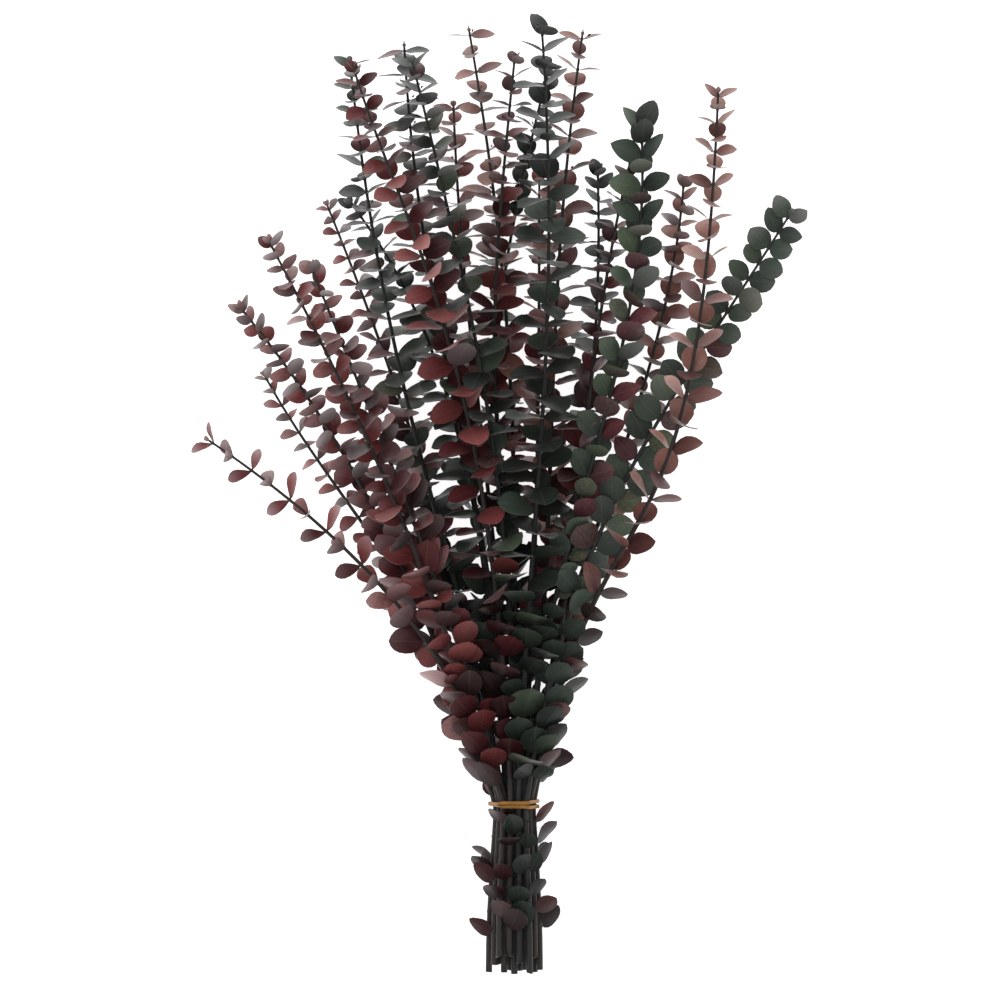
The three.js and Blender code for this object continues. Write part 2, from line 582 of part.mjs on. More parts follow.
// The table, as what is cut away where a rim presses on it
function tableSolid() {
  const table = new THREE.BoxGeometry(...TABLE);
  return solidOf(moved(table, (x, y, z) => vector(x, y, z - TABLE[2] / 2)));
}

// Only the outer body of a joined shape is kept, so it has no sealed hollow and no scrap
function outerBody(solid) {
  return solid.decompose().reduce((a, b) => (b.volume() > a.volume() ? b : a));
}

function boxesNear(a, b) {
  return [0, 1, 2].every((k) => a.min[k] - CLEAR < b.max[k] && b.min[k] - CLEAR < a.max[k]);
}

// The leafy stems, with the blades that keep clear of everything else
function leafyStems() {
  const lines = STEMS.map((stem) => route(axisPoints(stem)));
  const planned = plannedLeaves(lines);
  const nodes = STEMS.map((stem, index) => nodesOf(stem, lines[index],
    planned.filter(({ stemIndex }) => stemIndex === index)));
  const bare = lines.map((line, index) => stemGeometry(line, nodes[index]));
  const boxed = (solid, tags) => ({ solid, box: solid.boundingBox(), ...tags });
  const built = bare.map((geometry, stemIndex) => boxed(solidOf(geometry), { stemIndex }));
  built.push(boxed(solidOf(bandGeometry()), { stemIndex: -1 }));
  const meets = (one, other) => one.solid.intersect(other.solid).volume() > SPECK;
  const blocks = (blade, other) => {
    if (!boxesNear(other.box, blade.box)) return false;
    if (other.stemIndex !== blade.stemIndex) return blade.solid.minGap(other.solid, CLEAR) < CLEAR;
    if (other.node === undefined || other.node === blade.node) return meets(blade, other);
    return blade.solid.minGap(other.solid, CLEAR) < CLEAR / 2;
  };
  const table = tableSolid();
  const blades = STEMS.map(() => []);
  nodes.forEach((stemNodes, stemIndex) => stemNodes.forEach((node) => node.own.forEach((leaf, index) => {
    const face = node.faces[index];
    const line = lines[stemIndex];
    const geometry = bladeGeometry(leaf, leaf.wide, line, node, face);
    const blade = boxed(solidOf(geometry), { stemIndex, node });
    if (built.some((other) => blocks(blade, other))) return;
    built.push(blade);
    const root = [-ROOT / 2, ROOT / 2].flatMap((step) => [face - 1, face].map((corner) =>
      cornerOf(line, node.distance + step, node.angle, corner)));
    blades[stemIndex].push({ geometry, root });
  })));
  return bare.map((geometry, index) => {
    const whole = solidOf(fused(geometry, blades[index]));
    return whole.boundingBox().min[2] < 0 ? outerBody(whole.subtract(table)) : whole;
  });
}

function dyeMaterial(dye) {
  return new THREE.MeshStandardMaterial({ ...DYES[dye], metalness: 0 });
}
function rubberMaterial() {
  return new THREE.MeshStandardMaterial({ color: '#b5752a', roughness: 0.45, metalness: 0 });
}

const group = new THREE.Group();
leafyStems().forEach((solid, index) => {
  const mesh = new THREE.Mesh(geometryOf(solid), dyeMaterial(STEMS[index].dye));
  mesh.name = `leafy_stem_${String(index + 1).padStart(2, '0')}`;
  group.add(mesh);
});
const band = new THREE.Mesh(geometryOf(solidOf(bandGeometry())), rubberMaterial());
band.name = 'rubber_band';
group.add(band);

export default group;
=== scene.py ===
# A bunch of dried eucalyptus lying on a pale table, seen from straight above.
# Sizes are in millimetres and become metres where they reach Blender. +Y runs to the tips, +Z is up.
import json
import math
import random
from bisect import bisect_right

import bmesh
import bpy
from mathutils import Matrix, Vector

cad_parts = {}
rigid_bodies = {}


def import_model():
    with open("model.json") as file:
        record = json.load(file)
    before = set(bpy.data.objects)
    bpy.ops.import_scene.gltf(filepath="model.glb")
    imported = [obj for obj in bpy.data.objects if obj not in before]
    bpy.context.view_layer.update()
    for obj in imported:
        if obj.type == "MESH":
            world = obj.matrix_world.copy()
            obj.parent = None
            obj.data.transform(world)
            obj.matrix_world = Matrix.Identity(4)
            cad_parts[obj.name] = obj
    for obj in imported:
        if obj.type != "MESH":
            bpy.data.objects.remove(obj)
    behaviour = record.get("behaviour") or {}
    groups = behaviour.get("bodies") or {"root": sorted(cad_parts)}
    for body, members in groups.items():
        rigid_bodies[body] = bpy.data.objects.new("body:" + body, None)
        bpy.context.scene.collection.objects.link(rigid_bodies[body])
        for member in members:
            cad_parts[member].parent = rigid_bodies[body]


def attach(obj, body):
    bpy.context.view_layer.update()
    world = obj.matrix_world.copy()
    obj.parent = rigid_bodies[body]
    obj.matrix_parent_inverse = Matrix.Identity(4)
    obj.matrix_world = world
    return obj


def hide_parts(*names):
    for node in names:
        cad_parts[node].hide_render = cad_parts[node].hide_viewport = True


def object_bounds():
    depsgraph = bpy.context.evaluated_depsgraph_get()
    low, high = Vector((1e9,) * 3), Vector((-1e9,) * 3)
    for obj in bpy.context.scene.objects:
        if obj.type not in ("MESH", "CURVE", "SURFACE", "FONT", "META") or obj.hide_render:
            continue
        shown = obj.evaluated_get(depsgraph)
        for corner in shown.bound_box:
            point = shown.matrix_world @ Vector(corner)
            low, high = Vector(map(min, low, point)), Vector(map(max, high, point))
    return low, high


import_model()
CAD_LOW, CAD_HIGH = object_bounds()
MM = 0.001

# The tie, where the stems lie in five rows, and the cut feet below it
TIE_X = 10
TIE_Y = -209.5
TIE_FLOOR = 8            # height of the lowest row
ROWS = [4, 5, 6, 5, 4]   # stems in each row, from the lowest up
MIDDLE_ROW = 2
PITCH = 5.2              # from stem to stem in a row
RISE = 4.75              # from row to row
FOOT_Y = -320
FOOT_FLOOR = 1.9
FOOT_SPREAD = 1.35       # how much wider apart the stems lie at their feet than at the tie
FOOT_RISE = 1.2          # and how much higher above each other
FOOT_STEP = 7            # the feet end unevenly, by up to this much either way
UNEVEN = (5.3, 2.1)      # how that changes from place to place and from row to row
TIE_EASE = 6             # how long a stem keeps its direction below the tie
FOOT_EASE = 60           # and above its foot
ROUTE_STEPS = (48, 8)    # steps above the tie and below it
TIP_LIFT = 0.12          # how far the tips point up

# The stems' thickness
STEM_TIP_RADIUS = 0.8
STEM_FOOT_RADIUS = 2.3
CORNER = 1.2             # how much wider the frame's faceted stems count, for their corners

# The leaves: how they grow
LEAF_GROWTH = 210        # how far from the tip leaves and gaps are full grown
GROWTH_POWER = 0.8
SIZE_SPREAD = 0.24
SIZE_BELOW = 0.82        # how large the leaves below the tie are for their age
TURN_SPREAD = 24
LIFT_SPREAD = 32
ROLL_SPREAD = 40
FIRST_PAIR = 3
BARE_FOOT = 20
BARE_TIE = 5
LOST_BELOW = 0.65        # the share of the leaves that is gone below the tie
LOST_ABOVE = 0.35        # and just above it
YOUNG = 30               # how far from the tip the leaves still close round the bud

# Where the stems crowd each other, near the tie, their leaves stand steeper and face outwards
CROWD = 150              # how far it takes for the crowding to fade
FULL_CROWD = 1.25        # over 1, so that it stays full for a while
CROWD_BELOW = 0.9
CROWD_LIFT = 58
CROWD_TURN = 0.4
CROWD_FACE = 0.7
CROWD_OUT = 0.5
CROWD_CALM = 8           # degrees less that their lift varies

# What a leaf may do to find its place
MAIN_STEP = 3            # every third pair is the frame's own, and gets its place first
STEEPEST = 66
MOST_BACKWARD = 60
SHARED_NODE = 45         # the least angle between the leaves of a pair
SHARED_SIZE = 0.75       # they meet at their base, so they are compared by this share of their size
TABLE_BITE = 1.5         # how far a leaf may be pressed flat on the table
ALMOST_PARALLEL = 0.2    # the sine up to which two leaves' planes count as one
BALL_STEP = 4            # from one ball that stands for a length of stem to the next
BAND_BALL = 1.3          # radius of the balls that stand for the band

# How near things may come: the frame's own pairs, and the finer ones between them
MAIN_ROOM = {"gap": 0.6, "stem": 1.1, "flat": 1.5}
FINE_ROOM = {"gap": 0.2, "stem": 0.5, "flat": 0.9}
# What is tried in turn: degrees more round the stem and more towards the tip, then a shorter leaf
GIVING_WAY = [(0, 0), (18, 0), (-18, 0), (0, 18), (0, -18), (20, 20), (-20, 20), (36, 0), (-36, 0),
              (0, 36), (28, 36), (-28, 36), (0, 52), (40, 48), (-40, 48), (0, -36), (50, 20), (-50, 20)]
MAIN_SHORTER = (1, 0.78)
FINE_SHORTER = (1, 0.8, 0.62)

# The rubber band
BAND_SEAT = 3.07         # from the outermost stems' axes to the inside of the frame's band
BAND_SNUG = 2.3          # the finer stems are round, so the real band sits this close
BAND_THICK = 1.2
BAND_WIDE = 2.4
BAND_CORNER = 0.35
BAND_SLOPE = 1.9         # how far its turns wander along the stems, either way
BAND_CROSS = 0.85        # half of how far they stand apart where one crosses over the other
BAND_STEPS = 40
FINE_BAND_STEPS = 240

# row and place: where the stem lies in the tie. tip: where it ends.
# lean: degrees to the left at the tie and at the tip. ease: how long it keeps each.
# leaf: half its length at the tip and full grown, and how wide it is for its length at the tip.
# gap: between pairs at the tip and where they are full grown.
# turn: of the first pair, and from each pair to the next. tilt: how far the pairs point to the tip.
# nod: degrees by which they turn their faces up. shut: how far the last ones close round the bud.
# face: how far the blades lie flat to the table.
# tone: the stretch of its dye that its leaves show at the tip, lower down and near the tie.
# buds: the share of its pairs that bear a bud on a stalk.
# pointed: how far from the tip its leaves all still end in a point.
# bloom: how grey the wax makes its young leaves, most of all their undersides, and how strong their painted
# glare is.
USUAL = dict(pointed=25, bloom=1)
STEMS = [
    dict(row=4, place=0, tip=(-154, 172, 110), lean=(17, 28), ease=(0.4, 0.3),
         dye="wine", leaf=(5.4, 10, 1), gap=(8.5, 13), turn=(60, 90),
         tilt=20, nod=15, shut=30, face=0.3, tone=((0.4, 1), (0.1, 0.85), (0, 0.55)),
         buds=0.1, bloom=1.3),
    dict(row=4, place=1, tip=(-98, 289, 110), lean=(2, 17), ease=(0.6, 0.22),
         dye="claret", leaf=(5.5, 11.2, 1), gap=(8.5, 14.5), turn=(10, 90),
         tilt=10, nod=15, shut=20, face=0.3, tone=((0.05, 0.45), (0, 1), (0, 0.75)),
         buds=0.2, bloom=0.6),
    dict(row=4, place=2, tip=(28, 314, 110), lean=(-2, 4), ease=(0.4, 0.4),
         dye="green", leaf=(8.4, 12, 1), gap=(11, 16), turn=(20, 90),
         tilt=15, nod=15, shut=20, face=0.12, tone=((0, 0.3), (0, 0.6), (0.2, 0.75)),
         buds=0.1, bloom=0.15),
    dict(row=4, place=3, tip=(197, 194, 62), lean=(-9, -32), ease=(0.45, 0.4),
         dye="green", leaf=(7.4, 9.8, 1), gap=(12, 16.5), turn=(90, 180),
         tilt=30, nod=0, shut=20, face=0.85, tone=((0.4, 0.65), (0.3, 0.9), (0.2, 0.75)),
         buds=0, bloom=0.5),
    dict(row=3, place=0, tip=(-196, 40, 86), lean=(12, 56), ease=(0.35, 0.3),
         dye="wine", leaf=(7.4, 10.6, 0.6), gap=(16, 18), turn=(80, 90),
         tilt=30, nod=0, shut=20, face=0.5, tone=((0.55, 1), (0.3, 0.9), (0, 0.55)),
         buds=0, bloom=1.6),
    dict(row=3, place=1, tip=(-127, 156, 86), lean=(15, 22), ease=(0.35, 0.3),
         dye="wine", leaf=(5.4, 10, 1), gap=(8.5, 13), turn=(30, 90),
         tilt=20, nod=15, shut=30, face=0.35, tone=((0.3, 1), (0.1, 0.85), (0, 0.55)),
         buds=0.1, bloom=1.2),
    dict(row=3, place=2, tip=(-59, 295, 86), lean=(0, 14), ease=(0.4, 0.4),
         dye="green", leaf=(6.5, 11, 1), gap=(8.5, 14.5), turn=(60, 90),
         tilt=15, nod=15, shut=20, face=0.12, tone=((0.1, 0.9), (0.1, 0.9), (0.1, 0.7)),
         buds=0.3),
    dict(row=3, place=3, tip=(95, 253, 86), lean=(-4, 4), ease=(0.4, 0.35),
         dye="green", leaf=(9.2, 9, 1), gap=(9.5, 14.5), turn=(90, 90),
         tilt=45, nod=0, shut=15, face=0.6, tone=((0.2, 0.7), (0.4, 1), (0.1, 0.75)),
         buds=0.1, pointed=70, bloom=0.2),
    dict(row=3, place=4, tip=(146, 273, 106), lean=(-12, -2), ease=(0.5, 0.7),
         dye="russet", leaf=(5.6, 10, 1), gap=(8.5, 19), turn=(90, 90),
         tilt=30, nod=25, shut=10, face=0.2, tone=((0.45, 0.95), (0.25, 0.9), (0, 0.4)),
         buds=0.1),
    dict(row=2, place=0, tip=(-176, 130, 62), lean=(19, 40), ease=(0.4, 0.3),
         dye="wine", leaf=(5.4, 10, 1), gap=(8.5, 13), turn=(50, 90),
         tilt=30, nod=10, shut=30, face=0.3, tone=((0.4, 1), (0.1, 0.85), (0, 0.55)),
         buds=0, bloom=1.3),
    dict(row=2, place=1, tip=(-102, 298, 62), lean=(8, 6), ease=(0.3, 0.5),
         dye="green", leaf=(5.5, 10.8, 1), gap=(7.7, 13), turn=(75, 90),
         tilt=15, nod=15, shut=10, face=0.12, tone=((0.3, 1), (0.2, 0.95), (0, 0.5)),
         buds=0.2),
    dict(row=2, place=2, tip=(-65, 308, 62), lean=(2, 3), ease=(0.4, 0.4),
         dye="green", leaf=(8, 11, 1), gap=(8, 13.8), turn=(90, 90),
         tilt=5, nod=18, shut=0, face=0.12, tone=((0.2, 1), (0.1, 1), (0.1, 0.6)),
         buds=0.4),
    dict(row=2, place=3, tip=(10, 300, 62), lean=(2, -6), ease=(0.6, 0.5),
         dye="claret", leaf=(5.2, 10.8, 1), gap=(9.5, 14), turn=(20, 90),
         tilt=20, nod=15, shut=20, face=0.12, tone=((0, 0.5), (0.1, 0.6), (0, 0.4)),
         buds=0.2, bloom=0.5),
    dict(row=2, place=4, tip=(56, 316, 62), lean=(-7, -8), ease=(0.4, 0.4),
         dye="russet", leaf=(6, 11, 1), gap=(10.2, 16), turn=(90, 90),
         tilt=20, nod=22, shut=0, face=0.12, tone=((0.2, 0.8), (0.2, 0.9), (0, 0.3)),
         buds=0.3),
    dict(row=2, place=5, tip=(89, 232, 62), lean=(-11, -14), ease=(0.35, 0.3),
         dye="claret", leaf=(4.5, 10.6, 1), gap=(8.5, 14.5), turn=(30, 90),
         tilt=20, nod=15, shut=30, face=0.12, tone=((0.1, 0.6), (0, 0.5), (0, 0.4)),
         buds=0.2),
    dict(row=1, place=0, tip=(-161, 85, 38), lean=(9, 28), ease=(0.35, 0.3),
         dye="wine", leaf=(4.8, 10, 0.7), gap=(10.2, 15), turn=(60, 90),
         tilt=20, nod=0, shut=20, face=0.4, tone=((0.45, 1), (0.15, 0.85), (0, 0.5)),
         buds=0, bloom=1.3),
    dict(row=1, place=1, tip=(-102, 203, 38), lean=(4, 38), ease=(0.4, 0.3),
         dye="green", leaf=(5.5, 10.8, 1), gap=(8.5, 14.5), turn=(60, 90),
         tilt=20, nod=15, shut=30, face=0.12, tone=((0.2, 0.6), (0.1, 0.6), (0, 0.4)),
         buds=0.1),
    dict(row=1, place=2, tip=(-21, 321, 38), lean=(0, 10), ease=(0.4, 0.4),
         dye="russet", leaf=(6.5, 11, 1), gap=(12.5, 17), turn=(90, 90),
         tilt=6, nod=20, shut=0, face=0.12, tone=((0.2, 0.9), (0.2, 0.9), (0, 0.3)),
         buds=0.7),
    dict(row=1, place=3, tip=(27, 220, 38), lean=(-4, 0), ease=(0.4, 0.3),
         dye="wine", leaf=(5.5, 11, 1), gap=(8.5, 14.5), turn=(10, 90),
         tilt=15, nod=15, shut=30, face=0.12, tone=((0.4, 1), (0.4, 1), (0.1, 0.6)),
         buds=0.1),
    dict(row=1, place=4, tip=(67, 225, 38), lean=(-9, 2), ease=(0.4, 0.35),
         dye="green", leaf=(5.5, 11, 1), gap=(8.5, 14.5), turn=(30, 90),
         tilt=20, nod=15, shut=30, face=0.12, tone=((0, 0.5), (0.1, 0.6), (0, 0.5)),
         buds=0.1, bloom=0.6),
    dict(row=0, place=0, tip=(-119, 203, 14), lean=(9, 22), ease=(0.35, 0.3),
         dye="wine", leaf=(4.8, 10, 0.7), gap=(8.5, 14), turn=(60, 90),
         tilt=20, nod=0, shut=20, face=0.4, tone=((0.45, 1), (0.15, 0.85), (0, 0.5)),
         buds=0, bloom=1.3),
    dict(row=0, place=1, tip=(-32, 272, 14), lean=(2, 2), ease=(0.45, 0.35),
         dye="wine", leaf=(5.5, 11, 1), gap=(8.5, 14.5), turn=(70, 90),
         tilt=15, nod=15, shut=10, face=0.12, tone=((0.5, 1), (0.5, 1), (0.1, 0.6)),
         buds=0.3),
    dict(row=0, place=2, tip=(33, 295, 14), lean=(1, -14), ease=(0.6, 0.5),
         dye="green", leaf=(6, 11, 1), gap=(8.5, 14.5), turn=(40, 90),
         tilt=15, nod=15, shut=20, face=0.12, tone=((0, 0.4), (0, 0.5), (0, 0.4)),
         buds=0.1, bloom=0.6),
    dict(row=0, place=3, tip=(127, 219, 14), lean=(-7, -4), ease=(0.35, 0.35),
         dye="russet", leaf=(5.5, 10.6, 1), gap=(8.5, 14.5), turn=(20, 90),
         tilt=20, nod=15, shut=20, face=0.25, tone=((0.2, 0.8), (0, 0.7), (0, 0.3)),
         buds=0.1),
]
STEMS = [USUAL | stem for stem in STEMS]
UP = (0.0, 0.0, 1.0)


# Vectors as plain triples of numbers, which keep their full precision
def along(point, direction, distance):
    return (point[0] + direction[0] * distance, point[1] + direction[1] * distance,
            point[2] + direction[2] * distance)


def minus(a, b):
    return (a[0] - b[0], a[1] - b[1], a[2] - b[2])


def dot(a, b):
    return a[0] * b[0] + a[1] * b[1] + a[2] * b[2]


def cross(a, b):
    return (a[1] * b[2] - a[2] * b[1], a[2] * b[0] - a[0] * b[2], a[0] * b[1] - a[1] * b[0])


def times(a, share):
    return (a[0] * share, a[1] * share, a[2] * share)


def unit(a):
    return times(a, 1 / math.sqrt(dot(a, a)))


def swung(a, b, angle):
    """A direction swung by an angle towards another one, square to it."""
    return along(times(a, math.cos(angle)), b, math.sin(angle))


def clamped(value, low, high):
    return max(low, min(high, value))


def interpolated(value, marks, values):
    """The value of a broken line at a place among its marks."""
    i = clamped(bisect_right(marks, value), 1, len(marks) - 1)
    share = clamped((value - marks[i - 1]) / (marks[i] - marks[i - 1]), 0, 1)
    return values[i - 1] + (values[i] - values[i - 1]) * share


# Where a stem runs
def across(stem):
    """How far to the right of the tie's middle the stem lies in its row."""
    return (stem["place"] - (ROWS[stem["row"]] - 1) / 2) * PITCH


def tie_point(stem):
    return (TIE_X + across(stem), TIE_Y, TIE_FLOOR + stem["row"] * RISE)


def bezier(a, b, c, d, steps):
    """Points of a curve from a to d that leaves a towards b and reaches d from c."""
    points = []
    for step in range(steps + 1):
        t = step / steps
        k = 1 - t
        weights = (k ** 3, 3 * k * k * t, 3 * k * t * t, t ** 3)
        points.append(tuple(sum(w * p[i] for w, p in zip(weights, (a, b, c, d))) for i in range(3)))
    return points


def axis_points(stem):
    """The stem's axis as points from the tip down to the foot."""
    tie = tie_point(stem)
    tip = stem["tip"]
    uneven = FOOT_STEP * math.sin(UNEVEN[0] * stem["place"] + UNEVEN[1] * stem["row"])
    foot = (TIE_X + across(stem) * FOOT_SPREAD, FOOT_Y + uneven,
            FOOT_FLOOR + stem["row"] * RISE * FOOT_RISE)
    start, end = (math.radians(lean) for lean in stem["lean"])
    out_of_tie = (-math.sin(start), math.cos(start), 0)
    out_of_tip = (-math.sin(end), math.cos(end), TIP_LIFT)
    reach = math.dist(tie, tip)
    upper = bezier(tip, along(tip, out_of_tip, -stem["ease"][1] * reach),
                   along(tie, out_of_tie, stem["ease"][0] * reach), tie, ROUTE_STEPS[0])
    lower = bezier(tie, along(tie, out_of_tie, -TIE_EASE), along(foot, (0, 1, 0), FOOT_EASE), foot,
                   ROUTE_STEPS[1])
    return upper + lower[1:]


class Route:
    """A run of points with the distance of each from the tip."""

    def __init__(self, points):
        self.points = points
        self.distances = [0]
        for a, b in zip(points, points[1:]):
            self.distances.append(self.distances[-1] + math.dist(a, b))
        self.length = self.distances[-1]

    def place(self, distance):
        """The place at a distance from the tip, and the direction towards the tip."""
        i = clamped(bisect_right(self.distances, distance), 1, len(self.points) - 1)
        share = (distance - self.distances[i - 1]) / (self.distances[i] - self.distances[i - 1])
        step = minus(self.points[i], self.points[i - 1])
        return along(self.points[i - 1], step, share), unit(times(step, -1))

    def radius(self, distance):
        return STEM_TIP_RADIUS + (STEM_FOOT_RADIUS - STEM_TIP_RADIUS) * distance / self.length


def across_stem(towards_tip):
    """Two directions across the stem: one as near straight up as can be, and one beside it."""
    up = unit(along(UP, towards_tip, -towards_tip[2]))
    return up, cross(towards_tip, up)


# A leaf's looks: which tone, brightness and shape it has among its like, and whether it is pointed
LOOKS = ("tone", "level", "shape", "pointed")
LEAF_DRAWS = 12
DRAWS_LEFT_OUT = 3


def leaf_draws(stem_index, pair, side):
    """Draws between 0 and 1 that belong to one leaf, the same on every run. Each follows from the one
    before, and the first three are left out, because they still resemble those of the next leaf."""
    state = (stem_index * 7919 + pair * 104729 + side * 1299709 + 12345) % 2 ** 32
    draws = []
    for _ in range(LEAF_DRAWS):
        state = (1664525 * state + 1013904223) % 2 ** 32
        draws.append(state / 2 ** 32)
    return draws[DRAWS_LEFT_OUT:]


def pairs_of(stem, line):
    """Where the pairs of a stem grow, from the tip down."""
    tip_gap, full_gap = stem["gap"]
    pairs = []
    distance = FIRST_PAIR
    while True:
        point, towards_tip = line.place(distance)
        if point[1] < FOOT_Y + BARE_FOOT:
            return pairs
        pairs.append(dict(pair=len(pairs), distance=distance, point=point, towards_tip=towards_tip))
        grown = min(1, distance / LEAF_GROWTH)
        distance += tip_gap + (full_gap - tip_gap) * grown


def leaf_wish(stem, stem_index, at, side, line):
    """What a leaf would like to be before it meets its neighbours."""
    size, turned, lifted, rolled, lost, *looks = leaf_draws(stem_index, at["pair"], side)
    below = at["point"][1] < TIE_Y
    grown = min(1, at["distance"] / LEAF_GROWTH)
    near_tie = clamped(FULL_CROWD - abs(at["point"][1] - TIE_Y) / CROWD, 0, 1)
    crowd = CROWD_BELOW if below else near_tie
    up, beside = across_stem(at["towards_tip"])
    out_angle = math.degrees(math.atan2(across(stem), (stem["row"] - MIDDLE_ROW) * RISE))
    first_turn, turn_step = stem["turn"]
    free = first_turn + turn_step * at["pair"] + 180 * side + (turned - 0.5) * TURN_SPREAD
    away = (free - out_angle + 540) % 360 - 180
    turn = out_angle + away * (1 - CROWD_TURN * crowd)
    young = stem["shut"] * max(0, 1 - at["distance"] / YOUNG)
    outward = swung(up, beside, math.radians(out_angle))
    tip_half, full_half, tip_wide = stem["leaf"]
    pressed = CROWD_OUT * crowd
    usual_half = (tip_half + (full_half - tip_half) * grown ** GROWTH_POWER) * (SIZE_BELOW if below else 1)
    free_lift = stem["tilt"] + young - stem["nod"] * math.cos(math.radians(turn))
    usual_lift = free_lift * (1 - crowd) + CROWD_LIFT * crowd
    return dict(
        missing=lost < (LOST_BELOW if below else LOST_ABOVE * crowd),
        half=usual_half * (1 + SIZE_SPREAD * (size - 0.5)),
        turn=turn,
        lift=usual_lift + (lifted - 0.5) * (LIFT_SPREAD - CROWD_CALM * crowd),
        roll=math.radians((rolled - 0.5) * ROLL_SPREAD),
        face=stem["face"] * (1 - crowd) + CROWD_FACE * crowd,
        facing=unit(along(times(outward, pressed), UP, 1 - pressed)),
        wide=tip_wide + (1 - tip_wide) * grown ** 2,
        surface=line.radius(at["distance"]),
        looks=dict(zip(LOOKS, looks)),
        up=up,
        beside=beside,
    )


def leaf_disc(wish, at, give_turn, give_lift, shorter):
    """The leaf as a thin disc: where it starts, its middle, the way it points and its flat side."""
    turn = math.radians(wish["turn"] + give_turn)
    lift = math.radians(clamped(wish["lift"] + give_lift, -MOST_BACKWARD, STEEPEST))
    out_of_stem = swung(wish["up"], wish["beside"], turn)
    points = swung(out_of_stem, at["towards_tip"], lift)
    level = swung(at["towards_tip"], out_of_stem, -lift)
    beside = cross(points, level)
    height = dot(level, wish["facing"])
    sideways = dot(beside, wish["facing"])
    lean = math.atan2(sideways, height) if height > 0 else math.atan2(-sideways, -height)
    roll = wish["roll"] + wish["face"] * lean
    flat = swung(level, beside, roll)
    half = wish["half"] * shorter
    start = along(at["point"], out_of_stem, wish["surface"])
    return dict(start=start, middle=along(start, points, half), points=points, flat=flat, half=half,
                turn=turn)


def chord(disc, half, partner, crease, gap):
    """The stretch of a crease between two planes that a disc covers."""
    in_plane = cross(disc["flat"], crease)
    to_partner = minus(partner["middle"], disc["middle"])
    reach = dot(to_partner, partner["flat"]) / dot(in_plane, partner["flat"])
    if abs(reach) >= half + gap:
        return None
    half_chord = math.sqrt((half + gap) ** 2 - reach * reach)
    middle = dot(along(disc["middle"], in_plane, reach), crease)
    return middle - half_chord, middle + half_chord


def discs_touch(one, other, share, room):
    """Whether two discs pass through each other or lie too close."""
    apart = minus(other["middle"], one["middle"])
    halves = one["half"] * share, other["half"] * share
    if dot(apart, apart) > (halves[0] + halves[1] + room["gap"]) ** 2:
        return False
    crease = cross(one["flat"], other["flat"])
    if math.sqrt(dot(crease, crease)) < ALMOST_PARALLEL:
        return abs(dot(apart, one["flat"])) < room["flat"] and abs(dot(apart, other["flat"])) < room["flat"]
    crease = unit(crease)
    a = chord(one, halves[0], other, crease, room["gap"])
    b = a and chord(other, halves[1], one, crease, room["gap"])
    return bool(a and b and a[0] < b[1] and b[0] < a[1])


def disc_meets_ball(disc, ball, room):
    """Whether a disc meets a ball, one of those that stand for a length of stem or band."""
    apart = minus(ball["point"], disc["middle"])
    height = dot(apart, disc["flat"])
    reach = ball["radius"] + room["stem"]
    if abs(height) > reach:
        return False
    level = dot(apart, apart) - height * height
    return level < (disc["half"] + math.sqrt(reach * reach - height * height)) ** 2


def band_point(angle, seat):
    """The band's middle line: twice round the stems, one turn crossing over the other."""
    outward = (math.cos(angle), 0.0, math.sin(angle))
    outermost = max((tie_point(stem) for stem in STEMS), key=lambda point: dot(point, outward))
    reach = seat + BAND_THICK / 2 + BAND_CROSS * (1 + math.sin(angle / 2))
    x, y, z = along(outermost, outward, reach)
    return (x, y + BAND_SLOPE * math.cos(angle / 2), z), outward


# Things near a point are found by the cell of space that they lie in
CELL = 28                # wide enough that things which touch lie in neighbouring cells


def cell_of(point):
    return tuple(math.floor(value / CELL) for value in point)


def store(cells, point, thing):
    cells.setdefault(cell_of(point), []).append(thing)


def near(cells, point):
    """What is stored in a point's own cell and in those round it."""
    i, j, k = cell_of(point)
    found = []
    for a in (i - 1, i, i + 1):
        for b in (j - 1, j, j + 1):
            for c in (k - 1, k, k + 1):
                found += cells.get((a, b, c), ())
    return found


